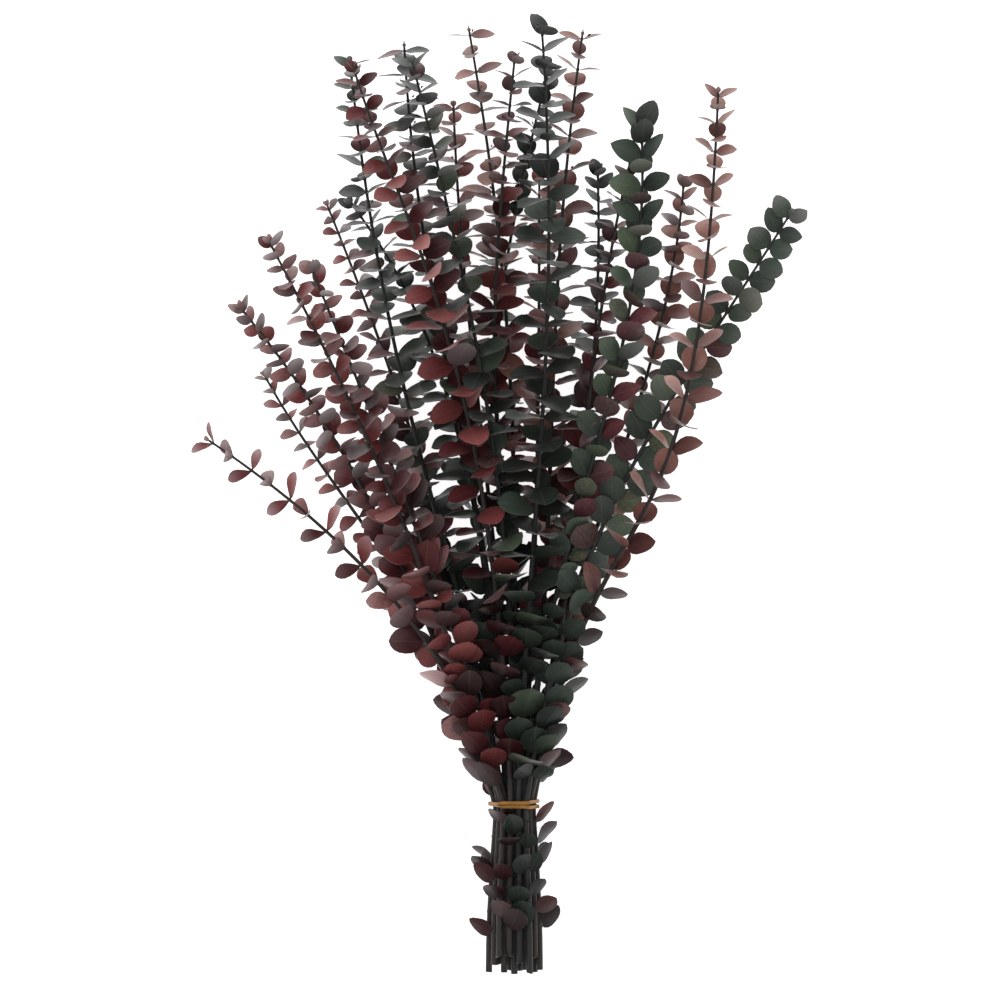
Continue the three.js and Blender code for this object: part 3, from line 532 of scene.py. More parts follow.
def planned_leaves(lines):
    """Every leaf of the bunch, each clear of the table, the band, the stems and the other leaves."""
    balls = {}
    for stem_index, line in enumerate(lines):
        distance = 0
        while distance < line.length:
            point, _ = line.place(distance)
            ball = dict(point=point, radius=CORNER * line.radius(distance), stem=stem_index)
            store(balls, point, ball)
            distance += BALL_STEP
    for step in range(BAND_STEPS):
        point, _ = band_point(4 * math.pi * step / BAND_STEPS, BAND_SEAT)
        store(balls, point, dict(point=point, radius=BAND_BALL, stem=-1))
    discs = {}
    leaves = []

    def fits(disc, stem_index, pair, room):
        lowest = disc["middle"][2] - disc["half"] * math.sqrt(max(0, 1 - disc["flat"][2] ** 2))
        if lowest < -TABLE_BITE:
            return False
        for ball in near(balls, disc["middle"]):
            if ball["stem"] != stem_index and disc_meets_ball(disc, ball, room):
                return False
        for other in near(discs, disc["middle"]):
            same_pair = other["stem"] == stem_index and other["pair"] == pair
            if same_pair and math.cos(other["turn"] - disc["turn"]) > math.cos(math.radians(SHARED_NODE)):
                return False
            if discs_touch(disc, other, SHARED_SIZE if same_pair else 1, room):
                return False
        return True

    def place(stem_index, at, side, room, sizes):
        stem = STEMS[stem_index]
        wish = leaf_wish(stem, stem_index, at, side, lines[stem_index])
        if wish["missing"]:
            return
        for shorter in sizes:
            for give_turn, give_lift in GIVING_WAY:
                disc = leaf_disc(wish, at, give_turn, give_lift, shorter)
                if fits(disc, stem_index, at["pair"], room):
                    disc.update(stem=stem_index, pair=at["pair"], distance=at["distance"],
                                wide=wish["wide"], looks=wish["looks"])
                    store(discs, disc["middle"], disc)
                    leaves.append(disc)
                    return

    for fine, room, sizes in ((False, MAIN_ROOM, MAIN_SHORTER), (True, FINE_ROOM, FINE_SHORTER)):
        for stem_index, stem in enumerate(STEMS):
            for at in pairs_of(stem, lines[stem_index]):
                if (at["pair"] % MAIN_STEP != 0) == fine and abs(at["point"][1] - TIE_Y) >= BARE_TIE:
                    for side in (0, 1):
                        place(stem_index, at, side, room, sizes)
    return leaves


# Colours, from the sRGB hex values that an eye would name to the linear ones that light adds up in
def linear(hex_colour):
    channels = [int(hex_colour[i:i + 2], 16) / 255 for i in (1, 3, 5)]
    return [c / 12.92 if c <= 0.04045 else ((c + 0.055) / 1.055) ** 2.4 for c in channels] + [1.0]


def add(tree, kind, inputs=None, stops=(), **settings):
    """Adds a node with its settings, and links or sets its inputs. A colour ramp also has stops, each a
    place and a hex colour."""
    node = tree.nodes.new(kind)
    for name, value in settings.items():
        setattr(node, name, value)
    for socket, value in (inputs or {}).items():
        if isinstance(value, bpy.types.NodeSocket):
            tree.links.new(value, node.inputs[socket])
        else:
            node.inputs[socket].default_value = value
    if stops:
        elements = node.color_ramp.elements
        while len(elements) < len(stops):
            elements.new(0.5)
        for element, (place, colour) in zip(elements, stops):
            element.position = place
            element.color = linear(colour)
    return node


def new_material(name):
    material = bpy.data.materials.new(name)
    material.use_nodes = True
    material.node_tree.nodes.clear()
    return material, material.node_tree


# The sockets by which a Mix node takes two colours and gives their mixture
MIX_A, MIX_B, MIXED = 6, 7, 2

# Each dye runs from its darkest leaves to its palest
DYES = {
    "wine": [(0, "#271819"), (0.3, "#412123"), (0.55, "#63292b"), (0.8, "#804340"), (1, "#968684")],
    "claret": [(0, "#2a191b"), (0.35, "#562326"), (0.7, "#804241"), (1, "#a26a65")],
    "green": [(0, "#1e2422"), (0.3, "#2e3630"), (0.6, "#424d44"), (0.72, "#4c5a45"), (0.84, "#48292d"),
              (1, "#6a3a3e")],
    "russet": [(0, "#1f241f"), (0.2, "#422628"), (0.45, "#6d4541"), (0.75, "#90645a"), (1, "#b39087")],
}

# The leaf's skin. Its map's side is LEAF_MAP half lengths, with the midrib up the middle.
LEAF_MAP = 2.2
FLECK_SIZE = 2.2         # millimetres from one dry fleck to the next
FLECKS = 0.22            # how far they shift the tone
GRAIN_SIZE = 0.35        # millimetres from one oil gland to the next
GRAIN = 0.3              # how far the grain shifts the brightness
MIDRIB = (0.004, 0.022)  # where it fades, on the map: 0.1 to 0.5 mm from the middle when full grown
SIDE_VEINS = 9           # in the length of the map, about 3 mm apart when full grown
VEIN_SLANT = 0.9         # how far they run towards the leaf's end on their way to its rim
VEIN_CREST = 0.86        # the height at which a wave shows as a vein
VEIN_SHOWS = 0.1         # how much of the veins' own colour shows
WAX_UNDER = 0.8          # how much wax the underside bears
PAINTED_GLARE_FROM = 0.35          # where a painted glare, in the wax's grey, begins on the map, on either side
PAINTED_GLARE_AT_END = 0.4         # and how strong the painted glare is at the map's far side
PAINTED_SHADE_AT_BASE = 0.62        # painted shade: how bright the leaf is painted at its base, where the stem shades it
PAINTED_LIGHT_AT_END = 1.15         # painted light: and how bright it is painted from LEVEL_TO on the map, out of that shade
LEVEL_TO = 0.8


def leaf_veins(tree, leaf_map):
    """How much of a vein there is: the midrib and, half as strong, the side veins."""
    sideways = add(tree, "ShaderNodeMath", {0: leaf_map["X"], 1: 0.5}, operation="SUBTRACT")
    sideways = add(tree, "ShaderNodeMath", {0: sideways.outputs[0]}, operation="ABSOLUTE").outputs[0]
    midrib = add(tree, "ShaderNodeMapRange", {
        "Value": sideways, "From Min": MIDRIB[0], "From Max": MIDRIB[1], "To Min": 1.0, "To Max": 0.0})
    slant = add(tree, "ShaderNodeMath", {0: sideways, 1: -VEIN_SLANT, 2: leaf_map["Y"]},
                operation="MULTIPLY_ADD")
    waves = add(tree, "ShaderNodeMath", {0: slant.outputs[0], 1: SIDE_VEINS * 2 * math.pi},
                operation="MULTIPLY")
    waves = add(tree, "ShaderNodeMath", {0: waves.outputs[0]}, operation="SINE")
    side_veins = add(tree, "ShaderNodeMapRange", {
        "Value": waves.outputs[0], "From Min": VEIN_CREST, "From Max": 1.0, "To Min": 0.0, "To Max": 0.5})
    return add(tree, "ShaderNodeMath", {0: midrib.outputs["Result"], 1: side_veins.outputs["Result"]},
               operation="MAXIMUM").outputs[0]


def preserved_leaf(dye):
    """Eucalyptus leaf preserved in glycerine and dyed: a matt, waxy skin that pales at a glance, greyer
    on its underside from its wax, with a painted glare towards its end and painted shade at its base,
    a fine midrib, faint side veins and dry flecks."""
    material, tree = new_material("preserved_leaf_" + dye)
    place = add(tree, "ShaderNodeTexCoord").outputs["Object"]
    tint, level, under, bloom = (add(tree, "ShaderNodeAttribute", attribute_name=name).outputs["Fac"]
                                 for name in ("tint", "level", "under", "bloom"))
    uv = add(tree, "ShaderNodeUVMap", uv_map="leaf_map").outputs["UV"]
    leaf_map = add(tree, "ShaderNodeSeparateXYZ", {"Vector": uv}).outputs
    veins = leaf_veins(tree, leaf_map)
    mottle = add(tree, "ShaderNodeTexNoise", {"Vector": place, "Scale": 1 / (FLECK_SIZE * MM),
                                              "Detail": 3.0}).outputs["Fac"]
    grain = add(tree, "ShaderNodeTexNoise", {"Vector": place, "Scale": 1 / (GRAIN_SIZE * MM),
                                             "Detail": 2.0}).outputs["Fac"]
    flecked = add(tree, "ShaderNodeMath", {0: mottle, 1: FLECKS, 2: tint}, operation="MULTIPLY_ADD")
    flecked = add(tree, "ShaderNodeMath", {0: flecked.outputs[0], 1: FLECKS / 2}, operation="SUBTRACT")
    dyed = add(tree, "ShaderNodeValToRGB", {"Fac": flecked.outputs[0]}, stops=DYES[dye])
    # Painted glare: the leaf's outer part is painted paler, in the wax's grey, like the white room
    # reflected at a glance
    painted_glare_towards_end = add(tree, "ShaderNodeMapRange", {"Value": leaf_map["Y"], "From Min": PAINTED_GLARE_FROM,
                                                   "To Max": PAINTED_GLARE_AT_END})
    wax_and_glare = add(tree, "ShaderNodeMath", {0: under, 1: WAX_UNDER, 2: painted_glare_towards_end.outputs["Result"]},
              operation="MULTIPLY_ADD")
    wax_and_glare = add(tree, "ShaderNodeMath", {0: wax_and_glare.outputs[0], 1: bloom}, operation="MULTIPLY")
    # Mixes in the wax's grey: real wax on the underside, painted glare towards the end
    waxed_and_glared = add(tree, "ShaderNodeMix", {"Factor": wax_and_glare.outputs[0], MIX_A: dyed.outputs["Color"],
                                        MIX_B: linear("#a7a2a3")}, data_type="RGBA")
    veined = add(tree, "ShaderNodeMath", {0: veins, 1: VEIN_SHOWS}, operation="MULTIPLY")
    lined = add(tree, "ShaderNodeMix", {"Factor": veined.outputs[0], MIX_A: waxed_and_glared.outputs[MIXED],
                                        MIX_B: linear("#a08a80")}, data_type="RGBA")
    # Brightness: the oil glands' grain times the leaf's level, which holds painted light and shade by
    # distance from the tip
    level = add(tree, "ShaderNodeMath", {0: grain, 1: GRAIN, 2: level}, operation="MULTIPLY_ADD")
    level = add(tree, "ShaderNodeMath", {0: level.outputs[0], 1: GRAIN / 2}, operation="SUBTRACT")
    # Painted shade and light: the leaf is painted darker at its base, in the stem's shade, and brighter
    # towards its end
    painted_base_shade = add(tree, "ShaderNodeMapRange", {"Value": leaf_map["Y"], "From Max": LEVEL_TO,
                                                    "To Min": PAINTED_SHADE_AT_BASE, "To Max": PAINTED_LIGHT_AT_END})
    level = add(tree, "ShaderNodeMath", {0: level.outputs[0], 1: painted_base_shade.outputs["Result"]},
                operation="MULTIPLY")
    final = add(tree, "ShaderNodeHueSaturation", {"Color": lined.outputs[MIXED],
                                                  "Value": level.outputs[0]})
    rough = add(tree, "ShaderNodeMapRange", {"Value": mottle, "To Min": 0.3, "To Max": 0.46})
    relief = add(tree, "ShaderNodeMath", {0: grain, 1: 0.5, 2: veins}, operation="MULTIPLY_ADD")
    bump = add(tree, "ShaderNodeBump", {"Height": relief.outputs[0], "Strength": 0.25,
                                        "Distance": 0.12 * MM})
    shader = add(tree, "ShaderNodeBsdfPrincipled", {
        "Base Color": final.outputs["Color"], "Roughness": rough.outputs["Result"], "IOR": 1.4,
        "Specular IOR Level": 0.3,
        "Sheen Weight": 0.9, "Sheen Roughness": 0.18, "Sheen Tint": linear("#e8e2e4"),
        "Normal": bump.outputs["Normal"]})
    add(tree, "ShaderNodeOutputMaterial", {"Surface": shader.outputs["BSDF"]})
    return material


BARK_STREAK = 1.1        # millimetres from one streak to the next round the stem
STREAK_STRETCH = 0.12    # the pattern's scale along the stem, beside its scale round it
STREAKS = 0.8            # how far the streaks shift the tone


def eucalyptus_bark():
    """Young eucalyptus bark, dyed with the leaves: almost black, in fine lengthwise streaks, paler on
    the cut."""
    material, tree = new_material("dyed_young_bark")
    place = add(tree, "ShaderNodeTexCoord").outputs["Object"]
    stretched = add(tree, "ShaderNodeMapping", {"Vector": place, "Scale": (1.0, STREAK_STRETCH, 1.0)})
    streaks = add(tree, "ShaderNodeTexNoise", {"Vector": stretched.outputs["Vector"],
                                               "Scale": 1 / (BARK_STREAK * MM),
                                               "Detail": 4.0}).outputs["Fac"]
    tint, cut = (add(tree, "ShaderNodeAttribute", attribute_name=name).outputs["Fac"]
                 for name in ("tint", "cut"))
    streaked = add(tree, "ShaderNodeMath", {0: streaks, 1: STREAKS, 2: tint}, operation="MULTIPLY_ADD")
    streaked = add(tree, "ShaderNodeMath", {0: streaked.outputs[0], 1: STREAKS / 2},
                   operation="SUBTRACT")
    bark = add(tree, "ShaderNodeValToRGB", {"Fac": streaked.outputs[0]},
               stops=[(0, "#191a19"), (0.35, "#2a2d2a"), (0.65, "#372c2a"), (1, "#57453f")])
    wood = add(tree, "ShaderNodeValToRGB", {"Fac": streaks}, stops=[(0.3, "#6f5b49"), (0.7, "#a48d70")])
    colour = add(tree, "ShaderNodeMix", {"Factor": cut, MIX_A: bark.outputs["Color"],
                                         MIX_B: wood.outputs["Color"]}, data_type="RGBA")
    bump = add(tree, "ShaderNodeBump", {"Height": streaks, "Strength": 0.5, "Distance": 0.3 * MM})
    shader = add(tree, "ShaderNodeBsdfPrincipled", {
        "Base Color": colour.outputs[MIXED], "Roughness": 0.6, "IOR": 1.45,
        "Normal": bump.outputs["Normal"]})
    add(tree, "ShaderNodeOutputMaterial", {"Surface": shader.outputs["BSDF"]})
    return material


RUBBER_CLOUD = 3         # millimetres from one cloud in the rubber to the next
RUBBER_LINE = 0.4        # millimetres from one line of the extrusion to the next


def natural_rubber():
    """Extruded natural rubber: amber, a little cloudy, with a soft gloss and faint lines round it."""
    material, tree = new_material("natural_rubber")
    place = add(tree, "ShaderNodeTexCoord").outputs["Object"]
    cloud = add(tree, "ShaderNodeTexNoise", {"Vector": place, "Scale": 1 / (RUBBER_CLOUD * MM),
                                             "Detail": 2.0})
    colour = add(tree, "ShaderNodeValToRGB", {"Fac": cloud.outputs["Fac"]},
                 stops=[(0.3, "#956520"), (0.7, "#b88032")])
    round_band = add(tree, "ShaderNodeMapping", {"Vector": place, "Scale": (0.1, 1.0, 0.1)})
    lines = add(tree, "ShaderNodeTexNoise", {"Vector": round_band.outputs["Vector"],
                                             "Scale": 1 / (RUBBER_LINE * MM)})
    bump = add(tree, "ShaderNodeBump", {"Height": lines.outputs["Fac"], "Strength": 0.3,
                                        "Distance": 0.1 * MM})
    shader = add(tree, "ShaderNodeBsdfPrincipled", {
        "Base Color": colour.outputs["Color"], "Roughness": 0.42, "IOR": 1.52, "Subsurface Weight": 0.15,
        "Subsurface Scale": 1.5 * MM, "Normal": bump.outputs["Normal"]})
    add(tree, "ShaderNodeOutputMaterial", {"Surface": shader.outputs["BSDF"]})
    return material


def in_scene(name, data):
    """A new object in the scene, at the origin."""
    thing = bpy.data.objects.new(name, data)
    bpy.context.scene.collection.objects.link(thing)
    return thing


def finished_shape(mesh, rim_edges=False):
    """Faces turned outwards and shaded smooth, where wanted with the rim kept crisp."""
    work = bmesh.new()
    work.from_mesh(mesh)
    bmesh.ops.recalc_face_normals(work, faces=work.faces)
    for face in work.faces:
        face.smooth = True
    if rim_edges:
        for edge in work.edges:
            if len(edge.link_faces) == 2 and edge.calc_face_angle() > math.radians(CRISP_EDGE):
                edge.smooth = False
    work.to_mesh(mesh)
    work.free()
    return mesh


def between_rings(pairs, sides):
    """Faces from each ring of vertices to the one it is paired with."""
    faces = []
    for a, b in pairs:
        for side in range(sides):
            other = (side + 1) % sides
            faces.append((a * sides + side, a * sides + other, b * sides + other, b * sides + side))
    return faces


# One round leaf in half lengths, its base at the origin and its point at y = 2
AROUND = 16
RINGS = (0.5, 0.86, 1.0)
LEAF_THICK = 0.045
RIM_WAVES = 3
NARROW_UP_TO = 1.5       # how far along a leaf its base tapers
NARROW_POWER = 1.2
CRISP_EDGE = 50          # degrees between faces from which an edge stays crisp
# The shapes are numbered: round ones, pointed ones, narrow ones and the bud
ROUND_SHAPES = 5
POINTED_SHAPES = 3
NARROW_SHAPES = 2
FIRST_NARROW = ROUND_SHAPES + POINTED_SHAPES
BUD_SHAPE = FIRST_NARROW + NARROW_SHAPES
SHAPE_SEED = 31


def leaf_point(angle, ring, form):
    """A point of a leaf: the angle runs round its middle from the base, the ring from 0 to 1."""
    side = math.sin(angle)
    end = -math.cos(angle)
    point = form["tip"] * math.exp(-((angle - math.pi) / form["taper"]) ** 2)
    wave = 1 + form["wave"] * math.sin(RIM_WAVES * angle + form["phase"])
    x = form["wide"] * side * ring * wave
    y = 1 + (end * wave + point) * ring
    x *= 1 - form["narrow"] * (1 - min(1, y / NARROW_UP_TO)) ** NARROW_POWER
    cup = form["cup"] * x * x * min(1, max(0, y))
    droop = form["droop"] * (y / 2) ** 2
    ripple = form["ripple"] * ring * ring * math.sin(2 * angle + form["phase"] * 1.7)
    fold = form["fold"] * abs(x) * min(1, max(0, y))
    return Vector((x, y, cup - droop + ripple + fold + form["twist"] * x * (y - 1)))


def mapped_shape(index, vertices, faces, under, map_place, rim_edges):
    """A leaf or bud that knows its place on the leaf map and how far each face is underside."""
    mesh = bpy.data.meshes.new(f"shape_{index}")
    mesh.from_pydata(vertices, [], faces)
    mesh.attributes.new("under", "FLOAT", "FACE").data.foreach_set("value", under)
    leaf_map = mesh.uv_layers.new(name="leaf_map")
    for loop in mesh.loops:
        leaf_map.data[loop.index].uv = map_place(mesh.vertices[loop.vertex_index].co)
    return finished_shape(mesh, rim_edges)


def leaf_shape(index):
    draw = random.Random(SHAPE_SEED + index)
    narrow = index >= FIRST_NARROW
    pointed = index >= ROUND_SHAPES and not narrow
    form = dict(wide=draw.uniform(0.92, 1.04) - 0.12 * pointed, wave=draw.uniform(0, 0.03),
                tip=draw.uniform(0.18, 0.3) if pointed else draw.uniform(0.03, 0.12),
                taper=draw.uniform(0.4, 0.6) if pointed else 0.22,
                phase=draw.uniform(0, 2 * math.pi), cup=draw.uniform(0.04, 0.2),
                droop=draw.uniform(0.02, 0.2), ripple=draw.uniform(0.0, 0.05),
                fold=draw.uniform(0.0, 0.1), twist=draw.uniform(-0.06, 0.06),
                narrow=0.55 if narrow else 0.05)
    angles = [2 * math.pi * step / AROUND for step in range(AROUND)]
    flat = [leaf_point(0, 0, form)] + [leaf_point(angle, ring, form) for ring in RINGS for angle in angles]
    half_thick = Vector((0, 0, LEAF_THICK / 2))
    count = len(flat)
    vertices = [point + half_thick for point in flat] + [point - half_thick for point in flat]
    faces = []
    under = []
    for step in range(AROUND):
        following = (step + 1) % AROUND
        strips = [(0, 1 + following, 1 + step)]
        for ring in range(len(RINGS) - 1):
            inner = 1 + ring * AROUND
            outer = inner + AROUND
            strips.append((inner + step, inner + following, outer + following, outer + step))
        for strip in strips:
            faces += [strip, tuple(count + corner for corner in reversed(strip))]
            under += [0.0, 1.0]
        rim = 1 + (len(RINGS) - 1) * AROUND
        faces.append((rim + step, rim + following, count + rim + following, count + rim + step))
        under.append(0.5)
    return mapped_shape(index, vertices, faces, under,
                        lambda place: (0.5 + place.x / LEAF_MAP, place.y / LEAF_MAP), rim_edges=True)


# A small bud on its stalk, in half lengths: how far along, and how thick
BUD_PROFILE = ((0, 0.05), (0.6, 0.045), (1.15, 0.06), (1.3, 0.17), (1.5, 0.23), (1.75, 0.17), (2.0, 0.03))
BUD_SIDES = 6
BUD_MAP = (0.8, 0.5)     # a bud has no veins, so all of it shows one plain spot of the leaf map


def bud_shape():
    vertices = []
    for along_bud, thick in BUD_PROFILE:
        for side in range(BUD_SIDES):
            angle = 2 * math.pi * side / BUD_SIDES
            vertices.append((thick * math.cos(angle), along_bud, thick * math.sin(angle)))
    ends = [tuple(range(BUD_SIDES)), tuple(range(len(vertices) - BUD_SIDES, len(vertices)))]
    faces = ends + between_rings([(ring, ring + 1) for ring in range(len(BUD_PROFILE) - 1)], BUD_SIDES)
    return mapped_shape(BUD_SHAPE, vertices, faces, [0.0] * len(faces), lambda place: BUD_MAP,
                        rim_edges=False)


def leaf_collection():
    """The shapes that every stem draws its leaves and buds from. It isn't in the scene itself."""
    collection = bpy.data.collections.new("leaf_shapes")
    for index, shape in enumerate([leaf_shape(index) for index in range(BUD_SHAPE)] + [bud_shape()]):
        collection.objects.link(bpy.data.objects.new(f"shape_{index:02d}", shape))
    return collection


# The attributes that the tree works by. The finished piece doesn't keep them.
TREE_MARKS = {"is_leaf": "BOOLEAN", "thick": "FLOAT", "size": "FLOAT_VECTOR", "shape": "INT",
              "turned": "QUATERNION", "is_bark": "BOOLEAN"}


def leafy_stem_tree():
    """Sweeps the stem along its axis and sets a leaf on each of its loose points."""
    tree = bpy.data.node_groups.new("leafy_stem", "GeometryNodeTree")
    for name, kind in (("Stem", "NodeSocketGeometry"), ("Leaf shapes", "NodeSocketCollection"),
                       ("Stem sides", "NodeSocketInt"), ("Leaf size", "NodeSocketFloat"),
                       ("Leaf material", "NodeSocketMaterial"), ("Bark material", "NodeSocketMaterial")):
        tree.interface.new_socket(name, in_out="INPUT", socket_type=kind)
    tree.interface.new_socket("Leafy stem", in_out="OUTPUT", socket_type="NodeSocketGeometry")
    given = add(tree, "NodeGroupInput").outputs
    marks = {name: add(tree, "GeometryNodeInputNamedAttribute", {"Name": name}, data_type=kind).outputs[0]
             for name, kind in TREE_MARKS.items()}
    parts = add(tree, "GeometryNodeSeparateGeometry", {
        "Geometry": given["Stem"], "Selection": marks["is_leaf"]}, domain="POINT")
    line = add(tree, "GeometryNodeMeshToCurve", {"Mesh": parts.outputs["Inverted"]})
    circle = add(tree, "GeometryNodeCurvePrimitiveCircle", {
        "Resolution": given["Stem sides"], "Radius": 1.0})
    sweep = add(tree, "GeometryNodeCurveToMesh", {
        "Curve": line.outputs["Curve"], "Profile Curve": circle.outputs["Curve"],
        "Scale": marks["thick"], "Fill Caps": True})
    stem = add(tree, "GeometryNodeStoreNamedAttribute", {
        "Geometry": sweep.outputs["Mesh"], "Name": "is_bark", "Value": True},
        data_type="BOOLEAN", domain="FACE")
    shapes = add(tree, "GeometryNodeCollectionInfo", {
        "Collection": given["Leaf shapes"], "Separate Children": True, "Reset Children": True})
    points = add(tree, "GeometryNodeMeshToPoints", {"Mesh": parts.outputs["Selection"]})
    size = add(tree, "ShaderNodeVectorMath", {0: marks["size"], "Scale": given["Leaf size"]},
               operation="SCALE")
    leaves = add(tree, "GeometryNodeInstanceOnPoints", {
        "Points": points.outputs["Points"], "Instance": shapes.outputs[0], "Pick Instance": True,
        "Instance Index": marks["shape"], "Rotation": marks["turned"], "Scale": size.outputs["Vector"]})
    both = add(tree, "GeometryNodeJoinGeometry", {"Geometry": stem.outputs["Geometry"]})
    tree.links.new(leaves.outputs["Instances"], both.inputs["Geometry"])
    real = add(tree, "GeometryNodeRealizeInstances", {"Geometry": both.outputs["Geometry"]})
    with_leaf = add(tree, "GeometryNodeSetMaterial", {
        "Geometry": real.outputs["Geometry"], "Material": given["Leaf material"]})
    with_bark = add(tree, "GeometryNodeSetMaterial", {
        "Geometry": with_leaf.outputs["Geometry"], "Selection": marks["is_bark"],
        "Material": given["Bark material"]})
    add(tree, "NodeGroupOutput", {"Leafy stem": with_bark.outputs["Geometry"]})
    return tree


def made_plain(piece):
    """Turns what the piece's nodes make into its own plain mesh."""
    bpy.context.view_layer.update()
    evaluated = piece.evaluated_get(bpy.context.evaluated_depsgraph_get())
    mesh = bpy.data.meshes.new_from_object(evaluated)
    piece.modifiers.clear()
    piece.data = mesh
    mesh.name = piece.name


# A stem's own detail
AXIS_STEP = 4
NODE_HALF = 1.3          # length of the swelling each side of a pair
NODE_SWELL = 0.32
CUT_DEPTH = 0.1          # the end of the stem that shows its cut
CUT_SLANT = 0.45         # the most that a cut runs along its stem for each millimetre across it
CUT_TURN = 2             # millimetres across the bunch in which the slant turns by a radian
STEM_SIDES = 8
BARK_TONES = (0.1, 0.35)
BARK_DYED = 0.25         # how much paler the bark is on stems that aren't green

# Its leaves and buds
NARROW_BELOW = 0.85      # leaves narrower than this taper to their base
POINTED_SHARE = 0.2      # of the leaves that are old enough to be round
YOUNGEST = (1.5, 3.0)    # half length of the two leaves by the bud, where the last pair is open or shut
YOUNGEST_LOOKS = (0.4, 0.7)
TIP_BUD = 2.2
TIP_BUD_BACK = 0.3
BUD_HALF = (2.2, 3.6)
BUD_SLANT = (0.6, 1.2)   # how far a side bud leans towards the tip
BUD_ROOT = 0.5           # where its stalk starts, inside the stem
ALMOST_ALONG = 0.9       # the cosine from which two directions are too alike to cross

# How they look, by their distance from the tip
LOOK_AGES = (0, 130, 300, 420)
RARER = (0.9, 0.9, 1.1, 1.7)      # how much rarer the pale leaves are at those distances
LEVEL_AND_PAINTED_SHADE = (1.15, 1.35, 1.25, 0.7)  # painted light and shade: lifted in the middle of the stems, darker near the tie where the bunch shades itself, where older leaves are also darker
BLOOM_AND_GLARE = (1.1, 0.7, 0.03, 0)       # how much of the young leaves' wax is left there, and of their painted glare
LEAST_LEVEL = 0.8                 # the darkest of like leaves, beside their mean
LEVEL_SPREAD = 0.4
LEAST_BLOOM_AND_GLARE = 0.3                 # the least waxy of like leaves, with the least painted glare, beside the most waxy


def stem_axis(line, pairs):
    """Points from the tip down and the stem's radius there, with a swelling at each pair."""
    swellings = [at["distance"] for at in pairs]
    distances = {0.0, line.length - CUT_DEPTH, line.length}
    distances.update(step * AXIS_STEP for step in range(1, int(line.length / AXIS_STEP)))
    for middle in swellings:
        distances.update((middle - NODE_HALF, middle, middle + NODE_HALF))
    rows = []
    for distance in sorted(d for d in distances if 0 <= d <= line.length):
        nearest = min((abs(distance - middle) for middle in swellings), default=NODE_HALF)
        swell = NODE_SWELL * max(0, 1 - nearest / NODE_HALF)
        rows.append((line.place(distance)[0], line.radius(distance) + swell))
    return rows


def turned_to(points, flat):
    """The turn that brings a leaf shape's end and its upper side to these directions."""
    side = cross(points, flat)
    return Matrix((side, points, flat)).transposed().to_quaternion()


def young_leaves(stem, line):
    """The bud at the very tip and the two small leaves that enclose it."""
    point, towards_tip = line.place(TIP_BUD_BACK)
    up, beside = across_stem(towards_tip)
    grown = [dict(start=point, points=towards_tip, flat=up, half=TIP_BUD, wide=1, bud=True,
                  looks=dict.fromkeys(LOOKS, 0.5))]
    open_half, shut_half = YOUNGEST
    youngest = open_half + (shut_half - open_half) * min(1, stem["shut"] / YOUNG)
    lift = math.radians(STEEPEST)
    for side, looks in enumerate(YOUNGEST_LOOKS):
        out = swung(up, beside, math.radians(stem["turn"][0] - 90 + 180 * side))
        grown.append(dict(start=along(point, out, STEM_TIP_RADIUS), points=swung(out, towards_tip, lift),
                          flat=swung(towards_tip, out, -lift), half=youngest, wide=stem["leaf"][2],
                          looks=dict.fromkeys(LOOKS, looks)))
    return grown


def side_buds(stem, pairs, draw):
    """Buds on short stalks in the angle of a leaf here and there."""
    grown = []
    for at in pairs:
        if at["point"][1] > TIE_Y + CROWD and draw.random() < stem["buds"]:
            up, beside = across_stem(at["towards_tip"])
            out = swung(up, beside, draw.uniform(0, 2 * math.pi))
            points = unit(along(out, at["towards_tip"], draw.uniform(*BUD_SLANT)))
            across_bud = beside if abs(dot(points, beside)) < ALMOST_ALONG else up
            grown.append(dict(start=along(at["point"], out, BUD_ROOT), points=points,
                              flat=unit(cross(points, across_bud)), half=draw.uniform(*BUD_HALF),
                              wide=1, bud=True, looks=dict.fromkeys(LOOKS, draw.random())))
    return grown


def shape_of(stem, leaf):
    """The number of the leaf's shape."""
    if leaf.get("bud"):
        return BUD_SHAPE
    if leaf["wide"] < NARROW_BELOW:
        return FIRST_NARROW + int(leaf["looks"]["shape"] * NARROW_SHAPES)
    if leaf.get("distance", 0) < stem["pointed"] or leaf["looks"]["pointed"] < POINTED_SHARE:
        return ROUND_SHAPES + int(leaf["looks"]["shape"] * POINTED_SHAPES)
    return int(leaf["looks"]["shape"] * ROUND_SHAPES)


def at_age(leaf, values):
    return interpolated(leaf.get("distance", 0), LOOK_AGES, values)


def tone_of(stem, leaf):
    """The leaf's place between the darkest and the palest of its dye."""
    young, grown_up, old = stem["tone"]
    low, high = (at_age(leaf, (young[k], grown_up[k], grown_up[k], old[k])) for k in (0, 1))
    return low + (high - low) * leaf["looks"]["tone"] ** at_age(leaf, RARER)


def level_and_painted_shade_of(leaf):
    """How bright the leaf is: its own random level, times painted light and shade by its distance from the
    tip.
    """
    return (LEAST_LEVEL + LEVEL_SPREAD * leaf["looks"]["level"]) * at_age(leaf, LEVEL_AND_PAINTED_SHADE)


def bloom_and_glare_of(stem, leaf):
    """How much of its wax shows as a grey bloom, and how strong its painted glare towards the end is."""
    share = LEAST_BLOOM_AND_GLARE + (1 - LEAST_BLOOM_AND_GLARE) * leaf["looks"]["level"] ** 2
    return share * stem["bloom"] * at_age(leaf, BLOOM_AND_GLARE)


def size_of(leaf):
    return [leaf["half"] * leaf["wide"] * MM, leaf["half"] * MM, leaf["half"] * MM]


